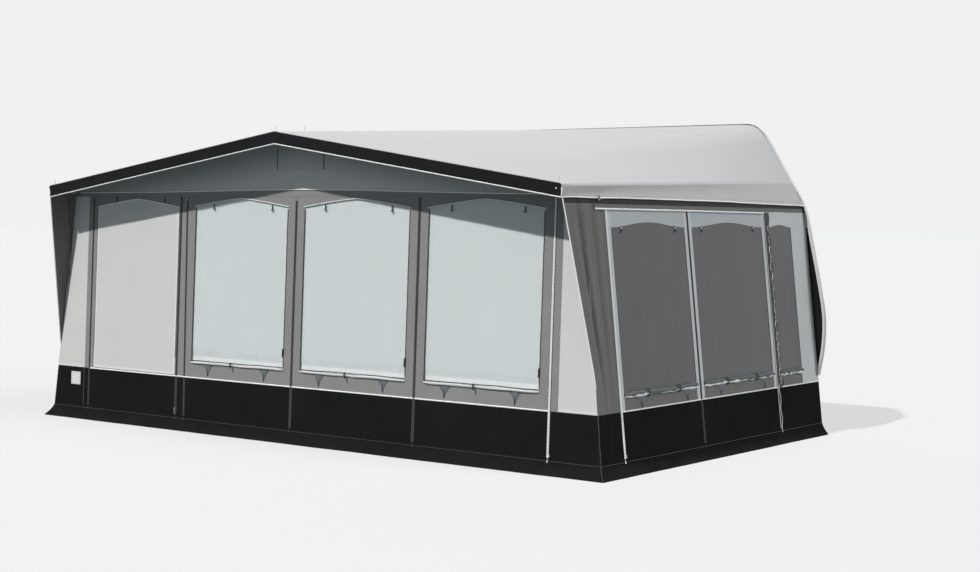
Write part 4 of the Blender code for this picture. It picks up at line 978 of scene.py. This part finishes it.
def skirts():
    def waved(share, u, seed):
        flow = 1 + 0.10 * wander(u * 2.2, seed=seed) + 0.05 * wander(u * 9, seed=seed + 1)
        return flared(share) * min(flow, 1.12)

    def front_point(u, share, depth):
        out = waved(share, u * 2.8, 3) - depth
        return Vector((u * (BASE_HALF + flared(share) - 0.0003), FRONT_Y - out, SEAM_HEIGHT * (1 - share)))

    def side_point(sign):
        def point(y, share, depth):
            bend = flared(share)
            ease = smooth((y - FRONT_Y) / 0.15)
            out = bend + (waved(share, y, 7) - bend) * ease - depth
            start = FRONT_Y + 0.0003 - bend
            along = start + (ROOF_REAR - start) * (y - FRONT_Y) / (ROOF_REAR - FRONT_Y)
            return Vector((sign * (BASE_HALF + out), along, SEAM_HEIGHT * (1 - share)))

        return point

    lengthwise = spread(FRONT_Y, ROOF_REAR, step=0.035)
    for name, us, point in (
        ("front", spread(-1.0, 1.0, step=0.012), front_point),
        ("left", lengthwise, side_point(-1)),
        ("right", lengthwise, side_point(1)),
    ):
        skirt = sheet_piece(f"skirt_cloth_{name}", point, us, shares_of(8), HEAVY_CLOTH, "shell", ("mud_cloth",))
        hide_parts(f"ground_skirt_{name}")
    zip_ends()
    coil = trim("shell", "coil")
    out = flared(1 - SKIRT_STITCH / SEAM_HEIGHT) + 0.0015
    across = spread(-BASE_HALF - out, BASE_HALF + out, step=0.1)
    tube(coil, [Vector((x, FRONT_Y - out, SKIRT_STITCH)) for x in across], 0.0022)
    for sign, _ in SIDES:
        back = spread(FRONT_Y - out, ROOF_REAR, step=0.1)
        tube(coil, [Vector((sign * (BASE_HALF + out), y, SKIRT_STITCH)) for y in back], 0.0022)
        lap(side(sign), FRONT_Y + 0.002, ROOF_REAR, SEAM_HEIGHT, "mud_cloth")
        heights = spread(MUD_TOP, SEAM_HEIGHT, step=0.06)
        tube(coil, [Vector((sign * side_plane(z), front_plane(z), z)) for z in heights], 0.0030)
        corner = [Vector((sign * (BASE_HALF + flared(share)), FRONT_Y - flared(share),
                          SEAM_HEIGHT * (1 - share) + 0.002)) for share in shares_of(8)]
        tube(coil, corner, 0.0022)


def zip_ends():
    """The last teeth of the zips, run down over the skirt's top to its stitched line."""
    drops = [(z, 0.0022 + flared(1 - z / SEAM_HEIGHT)) for z in (0.108, 0.099, 0.091, 0.083)]
    for x in (HINGE_ZIP, -1.3152, -1.2160, -0.0251, 1.2039, 2.4081):
        kind = "light_coil" if x > 2 else "coil"
        tube(trim("shell", kind), [Vector((x, FRONT_Y - out, z)) for z, out in drops], knotted, 7)
    for y, kind in ((-1.235, "light_coil"), (-0.1549, "coil"), (1.036, "light_coil")):
        for sign, _ in SIDES:
            tube(trim("shell", kind), [Vector((sign * (BASE_HALF + out), y, z)) for z, out in drops], knotted, 7)


def knotted(share):
    return 0.0026 + 0.0022 * share**3


# Roof


def smooth_line(points, steps):
    """A curve through the points."""
    result = []
    padded = [points[0] + (points[0] - points[1]), *points, points[-1] + (points[-1] - points[-2])]
    for before, start, end, after in zip(padded, padded[1:], padded[2:], padded[3:]):
        for step in range(steps):
            t = step / steps
            result.append((start * 2 + (end - before) * t + (before * 2 - start * 5 + end * 4 - after) * t**2
                           + (start * 3 - before - end * 3 + after) * t**3) / 2)
    return [*result, points[-1]]


def along_line(points, distance):
    for start, end in zip(points, points[1:]):
        step = (end - start).length
        if distance <= step:
            return start.lerp(end, distance / step)
        distance -= step
    return points[-1]


def cut_line(points, height):
    kept = [points[0]]
    for start, end in zip(points, points[1:]):
        if end.y <= height:
            return [*kept, start.lerp(end, (start.y - height) / (start.y - end.y))]
        kept.append(end)
    return kept


def length_of(points):
    return sum((end - start).length for start, end in zip(points, points[1:]))


def canopy_line():
    """The canopy's right half, from its peak down the slope and round the eave."""
    fall = math.atan2(PEAK_HEIGHT - TIP_HEIGHT, TOP_HALF)
    turn = math.pi / 2 - fall
    slope = Vector((math.cos(fall), -math.sin(fall)))
    centre = Vector((TOP_HALF, TIP_HEIGHT)) - slope * EAVE_RADIUS * math.tan(turn / 2)
    centre -= Vector((math.sin(fall), math.cos(fall))) * EAVE_RADIUS
    angles = [turn - turn * step / 6 for step in range(7)]
    return [Vector((0, PEAK_HEIGHT)),
            *(centre + Vector((math.cos(angle), math.sin(angle))) * EAVE_RADIUS for angle in angles)]


CANOPY_LINE = canopy_line()
RAIL_LINE = smooth_line([Vector((x * RAIL_HALF, z * RAIL_HEIGHT)) for x, z in RAIL_SHARES], 4)
REAR_LINE = cut_line(RAIL_LINE, EAVE_REAR_HEIGHT)


def roof_point(share, back):
    """A point of the roof: share from -1 at the left eave to 1 at the right, back from 0 to 1."""
    sign = -1 if share < 0 else 1
    front_end = along_line(CANOPY_LINE, abs(share) * length_of(CANOPY_LINE))
    rear_end = along_line(REAR_LINE, abs(share) * length_of(REAR_LINE))
    point = front_end.lerp(rear_end, back)
    return Vector((sign * point.x, ROOF_FRONT + (ROOF_REAR - ROOF_FRONT) * back, point.y))


def roof_sheet():
    def sag(share, back):
        slack = math.sin(math.pi * back) * min(1.0, (1 - abs(share)) * 5) * smooth(abs(share) * 12)
        soft = 0.004 * (1 + wander(share * 4, back * 3, seed=11)) + 0.0012 * wander(share * 13, back * 9, seed=4)
        return slack * max(soft, 0)

    def point(share, back, depth):
        before, after = roof_point(max(share - 0.004, -1), back), roof_point(min(share + 0.004, 1), back)
        down = -(after - before).cross(Vector((0, 1, 0))).normalized()
        if down.z > 0 and abs(share) < 0.9:
            down = -down
        return roof_point(share, back) + down * sag(share, back) + down * depth

    shares = mirrored(spread(0.0, 0.84, step=0.03) + spread(0.84, 1.0, step=0.006)[1:])
    roof = sheet_piece("roof_sheet", point, shares, spread(0.0, 1.0, step=0.02), 0.0014, "shell", ("roof_cloth",))
    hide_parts("roof")


def eave_drop(sign, word):
    backs = spread(0.0, 1.0, step=0.02)
    rear_x = along_line(RAIL_LINE, length_of(cut_line(RAIL_LINE, DROP_REAR_HEIGHT))).x

    def foot(back):
        height = drop_foot(back) + DROP_BOW * math.sin(math.pi * back) + 0.003 * wander(back * 12, seed=3)
        across = (TOP_HALF + DROP_STAND_OFF) * (1 - back) + rear_x * back
        return Vector((sign * across, roof_point(sign, back).y, height))

    def point(back, share, depth):
        tuck = 0.006 * smooth((0.92 - back) / 0.30) * smooth(back / 0.06)
        bow = 0.002 * wander(back * 15, share, seed=7) - tuck * math.sin(math.pi * share)
        flat = roof_point(sign, back).lerp(foot(back), 0.003 + 0.997 * share)
        return flat + Vector((sign * (bow - depth), 0, 0))

    # The drops take the roof's cloth painted darker, as shade
    drop = sheet_piece(f"drop_flap_{word}", point, backs, shares_of(6), 0.0014, "shell", ("drop_cloth",))
    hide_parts(f"eave_drop_{word}")
    tube(trim("shell", "piping"), [foot(back) - Vector((0, 0, 0.001)) for back in backs], 0.0040, 7)
    tube(trim("shell", "stitch"), [point(back, 5 / 6, -0.0004) for back in backs], 0.0012, 5)


def valance():
    """The canopy's band, with soft waves, piped along its foot and round its ends."""
    slope_end, *eave = CANOPY_LINE[1:]
    tops = {x: PEAK_HEIGHT - x * CANOPY_SLOPE for x in spread(0.0, slope_end.x, step=0.03)}
    tops.update((corner.x, corner.y) for corner in eave)
    xs = mirrored(list(tops))

    def point(x, share, depth):
        top, foot = tops[abs(x)], PEAK_HEIGHT - VALANCE_HEIGHT - abs(x) * CANOPY_SLOPE
        wave = 0.0035 * share * wander(x * 1.7, share, seed=5) + 0.0012 * share * wander(x * 7, seed=9)
        wave *= smooth((TOP_HALF - abs(x)) / 0.1)
        lean = VALANCE_LEAN * smooth((-x - TOP_HALF + 0.14) / 0.12) * (share - 0.5)
        return Vector((x + lean, VALANCE_FRONT + 0.0005 - wave + depth, top + (foot - top) * share))

    band = sheet_piece("valance_band", point, xs, shares_of(6), HEAVY_CLOTH, "shell", ("valance_cloth",))
    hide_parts("canopy_valance")
    foot = [point(x, 1.0, 0) + Vector((0, -0.0015, -0.001)) for x in xs]
    right_end = [foot[-1] + Vector((0, 0, rise)) for rise in (0.020, 0.045, 0.070)]
    tube(trim("shell", "piping"), foot + right_end, 0.0042, 7)
    # A cord of the drops' darker cloth, its darkness painted shade, along the band's top
    tube(trim("shell", "drop_cloth"), [point(x, 0.0, 0) + Vector((0, -0.001, 0.0005)) for x in xs], 0.0030, 7)
    button = Vector((2.600, VALANCE_FRONT, 1.948))
    tube(trim("shell", "piping"), [button, button + Vector((0, -0.004, 0))], 0.005, 10)


# Gable


def gable_piping_height(x):
    return 1.928 + 0.021 * hump(x, 0, 1.2) - 0.012 * smooth((x - 0.3) / 2.3)


def gable_seam(x):
    """Height of the gable panel's seam under the roof."""
    low, high = 0.0, 1.0
    for _ in range(24):
        middle = (low + high) / 2
        if roof_point(middle, GABLE_BACK).x < abs(x):
            low = middle
        else:
            high = middle
    return roof_point(low, GABLE_BACK).z - 0.0045


def gable():
    # Half the width of the notch in the panel's top, for the middle roof pole
    notch = 0.0165
    xs = mirrored(spread(0.0, notch, VENT_HALF, 1.2, GABLE_HALF, step=0.03))
    # Rows run from the wall's top to the roof; the vent's edges are rows of their own
    vs = [0.0, 0.35, 1.0, 1.5, 2.0, 2.5, 3.0, 3.5, 4.0, 4.5, 5.0]

    def shape(x, row):
        top = gable_seam(x)
        line = min(gable_piping_height(x), top - 0.01)
        stops = ((0, WALL_TOP + 0.0003), (1, line), (2.5, min(VENT_SILL, line + (top - line) * 0.40)),
                 (4.5, min(VENT_TOP, line + (top - line) * 0.88)), (5.0, top))
        for (start, z), (end, end_z) in zip(stops, stops[1:]):
            if row <= end:
                return x, z + (end_z - z) * (row - start) / (end - start), 0.0

    def skip(x, row):
        return (abs(x) < VENT_HALF and 2.5 < row < 4.5) or (abs(x) < notch and row > 4.5)

    # The gable cloth above the piping carries painted shade, darker towards the roof
    panel = wall_sheet("gable_cloth", front, xs, vs, "shell", ("gable_cloth", "wall_cloth"), shape=shape,
                       skip=skip, pick=lambda x, row: int(row < 1))
    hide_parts("gable_panel")
    piping(front, [(x, gable_piping_height(x)) for x in spread(-2.58, 2.58, step=0.06)], "shell", 0.0042, 0.003)
    mesh = wall_sheet("vent_net", front, spread(-VENT_HALF - 0.004, VENT_HALF + 0.004, step=0.03),
                      spread(VENT_SILL - 0.004, VENT_TOP + 0.004, step=0.03), "shell", ("net",), out=-0.002,
                      thick=0.0005)
    # The vent's cover is of the gable cloth with its painted shade
    flap = wall_sheet("vent_cover", front, spread(-0.240, 0.240, step=0.03), spread(2.1001, 2.290, step=0.03),
                      "vent", ("gable_cloth",), out=0.0028)
    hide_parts("vent_flap")
    for x in (-0.244, 0.244):
        cord(front, [(x, 2.288), (x, 2.100)], "shell", "coil", 0.0028, 0.0025, step=0.04)
    cord(front, [(-0.238, 2.104), (0.238, 2.104)], "vent", "gable_cloth", 0.0022, 0.0035, step=0.04)


# Beading strip at the caravan


def beading():
    """The light band that carries the beading round the caravan, with dark gussets beside the walls: fillers whose
    black cloth is painted shade for the gap at the caravan.
    """
    rail = [Vector((-point.x, point.y)) for point in reversed(RAIL_LINE[1:])] + RAIL_LINE
    along = range(len(rail))
    normals = []
    for index in along:
        ahead = (rail[min(index + 1, along[-1])] - rail[max(index - 1, 0)]).normalized()
        normals.append(Vector((-ahead.y, ahead.x)))

    def inset(row, index):
        """The rail in row 0, the band's inner edge in row 1, the gusset's in row 2."""
        point = rail[index]
        band = point - normals[index] * BAND_WIDTH
        if row < 2:
            return band if row else point
        across, height = abs(band.x) - 0.001, band.y
        if point.y < DROP_REAR_HEIGHT:
            across, height = min(side_plane(point.y) - 0.012, across), point.y
        return Vector((math.copysign(1, point.x) * across, height))

    def gap(index):
        return (inset(1, index) - inset(2, index)).length

    def point(row, index, depth):
        place = inset(row, index)
        return Vector((place.x, BAND_FRONT + depth, place.y))

    # Row 2 below the gusset's top is mud cloth, painted shade in the gap at the caravan
    band = sheet_piece("beading_band", point, range(3), along, 0.0020, "shell", ("light_cloth", "mud_cloth"),
                       skip=lambda row, at: row > 1 and max(gap(int(at)), gap(int(at) + 1)) <= 0.002,
                       pick=lambda row, at: int(row > 1 and inset(1, int(at)).y < GUSSET_SHADE_TOP))
    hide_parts("beading_strip")
    tube(trim("shell", "light_cloth"), [Vector((p.x, BAND_FRONT + 0.001, p.y)) for p in rail], 0.0038, 8)

    def over_rail(index, y, out):
        place = rail[index] + normals[index] * out
        return Vector((place.x, y, place.y))

    hem = sheet_piece("rail_hem", lambda y, index, depth: over_rail(index, y, HEM_OUTS[y] - depth),
                      list(HEM_OUTS), along, 0.0010, "shell", ("light_cloth",))
    for y in (1.7000, 1.7180):
        tube(trim("shell", "stitch"), [over_rail(index, y, 0.0014) for index in along], 0.0013)


# Frame and trim


def finish_frame():
    for name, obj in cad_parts.items():
        kind = None
        if name.startswith(("leg_", "foot_", "roof_pole_", "gable_rafter_", "front_rail_")) or "slider" in name:
            kind = "steel"
        elif name.startswith("clamp_knob"):
            kind = "moulded"
        if kind:
            obj.data.materials.clear()
            obj.data.materials.append(FINISHES[kind])


def finish_trim():
    words = {"coil": "zips", "light_coil": "light_zips", "tape": "zip_tapes", "moulded": "holders",
             "tab_cloth": "tabs", "roll_cloth": "rolls", "gather_cloth": "gathers", "hem_cloth": "hems",
             "strap": "straps"}
    for (body, kind), bm in TRIM.items():
        piece(f"{body}_{words.get(kind, kind)}", bm, body, (kind,), soft=50)


# Camera, lights and floor


def photo_camera():
    level = Vector((-math.sin(CAMERA_YAW), math.cos(CAMERA_YAW), 0)) * math.cos(CAMERA_PITCH)
    forward = level - Vector((0, 0, math.sin(CAMERA_PITCH)))
    right = Vector((math.cos(CAMERA_YAW), math.sin(CAMERA_YAW), 0))
    up = right.cross(forward)
    rolled_right = right * math.cos(CAMERA_ROLL) + up * math.sin(CAMERA_ROLL)
    rolled_up = up * math.cos(CAMERA_ROLL) - right * math.sin(CAMERA_ROLL)
    data = bpy.data.cameras.new("camera")
    data.lens = CAMERA_LENS
    data.sensor_width = 36
    data.sensor_fit = "HORIZONTAL"
    data.clip_end = 400
    camera = bpy.data.objects.new("camera", data)
    matrix = Matrix((rolled_right, rolled_up, -forward)).transposed().to_4x4()
    matrix.translation = CAMERA_PLACE
    camera.matrix_world = matrix
    bpy.context.collection.objects.link(camera)
    bpy.context.scene.camera = camera


def lamps():
    for name, strength, softness, travel in LAMPS:
        light = bpy.data.lights.new(name, "SUN")
        light.energy = strength
        light.angle = math.radians(softness)
        lamp = bpy.data.objects.new(name, light)
        lamp.rotation_euler = Vector(travel).to_track_quat("-Z", "Y").to_euler()
        bpy.context.collection.objects.link(lamp)


def seen_rays(tree):
    """1 for rays of the camera, of a reflection or through foil, else 0."""
    path = node(tree, "ShaderNodeLightPath")
    total = path.outputs["Is Camera Ray"]
    for name in ("Is Glossy Ray", "Is Transmission Ray"):
        total = node(tree, "ShaderNodeMath", total, path.outputs[name], operation="MAXIMUM").outputs[0]
    return total


def show(tree, output, unseen, seen):
    """The output of a tree: one shader where it is seen, another where it only lights."""
    mix = node(tree, "ShaderNodeMixShader", seen_rays(tree), unseen.outputs[0], seen.outputs[0])
    node(tree, output, Surface=mix.outputs[0])


def empty_tree(owner):
    owner.use_nodes = True
    owner.node_tree.nodes.clear()
    return owner.node_tree


def sky():
    world = bpy.data.worlds.new("studio")
    bpy.context.scene.world = world
    tree = empty_tree(world)
    soft = node(tree, "ShaderNodeBackground", Color=SKY_COLOUR, Strength=SKY_STRENGTH)
    seen = node(tree, "ShaderNodeBackground", Color=BACKDROP, Strength=1.0)
    show(tree, "ShaderNodeOutputWorld", soft, seen)


def ground():
    bpy.ops.mesh.primitive_plane_add(size=300, location=(0, 60, 0))
    floor = bpy.context.object
    floor.name = "floor"
    surface = bpy.data.materials.new("floor")
    tree = empty_tree(surface)
    grey = node(tree, "ShaderNodeBsdfDiffuse", Color=FLOOR_BOUNCE)
    lit = node(tree, "ShaderNodeBsdfDiffuse", Color=FLOOR_LIT)
    glow = node(tree, "ShaderNodeEmission", Color=BACKDROP, Strength=1.0)
    blend = node(tree, "ShaderNodeMixShader", GLOW_SHARE, lit.outputs[0], glow.outputs[0])
    show(tree, "ShaderNodeOutputMaterial", grey, blend)
    floor.data.materials.append(surface)


def main():
    for number in BAYS:
        front_panel(number)
        window_trim(number)
        if number > 1:
            rolled_cover(number)
            curtain(number)
    closed_cover()
    label()
    front_zips()
    mud_piping()
    for sign, word in SIDES:
        front_corner(sign, word)
        side_corner(sign, word)
        for number in SIDE_PANELS:
            side_panel(sign, word, number)
        side_trim(sign, word)
    skirts()
    roof_sheet()
    for sign, word in SIDES:
        eave_drop(sign, word)
    valance()
    gable()
    beading()
    finish_frame()
    finish_trim()
    photo_camera()
    lamps()
    sky()
    ground()
    bpy.context.scene.view_settings.view_transform = "Standard"


main()
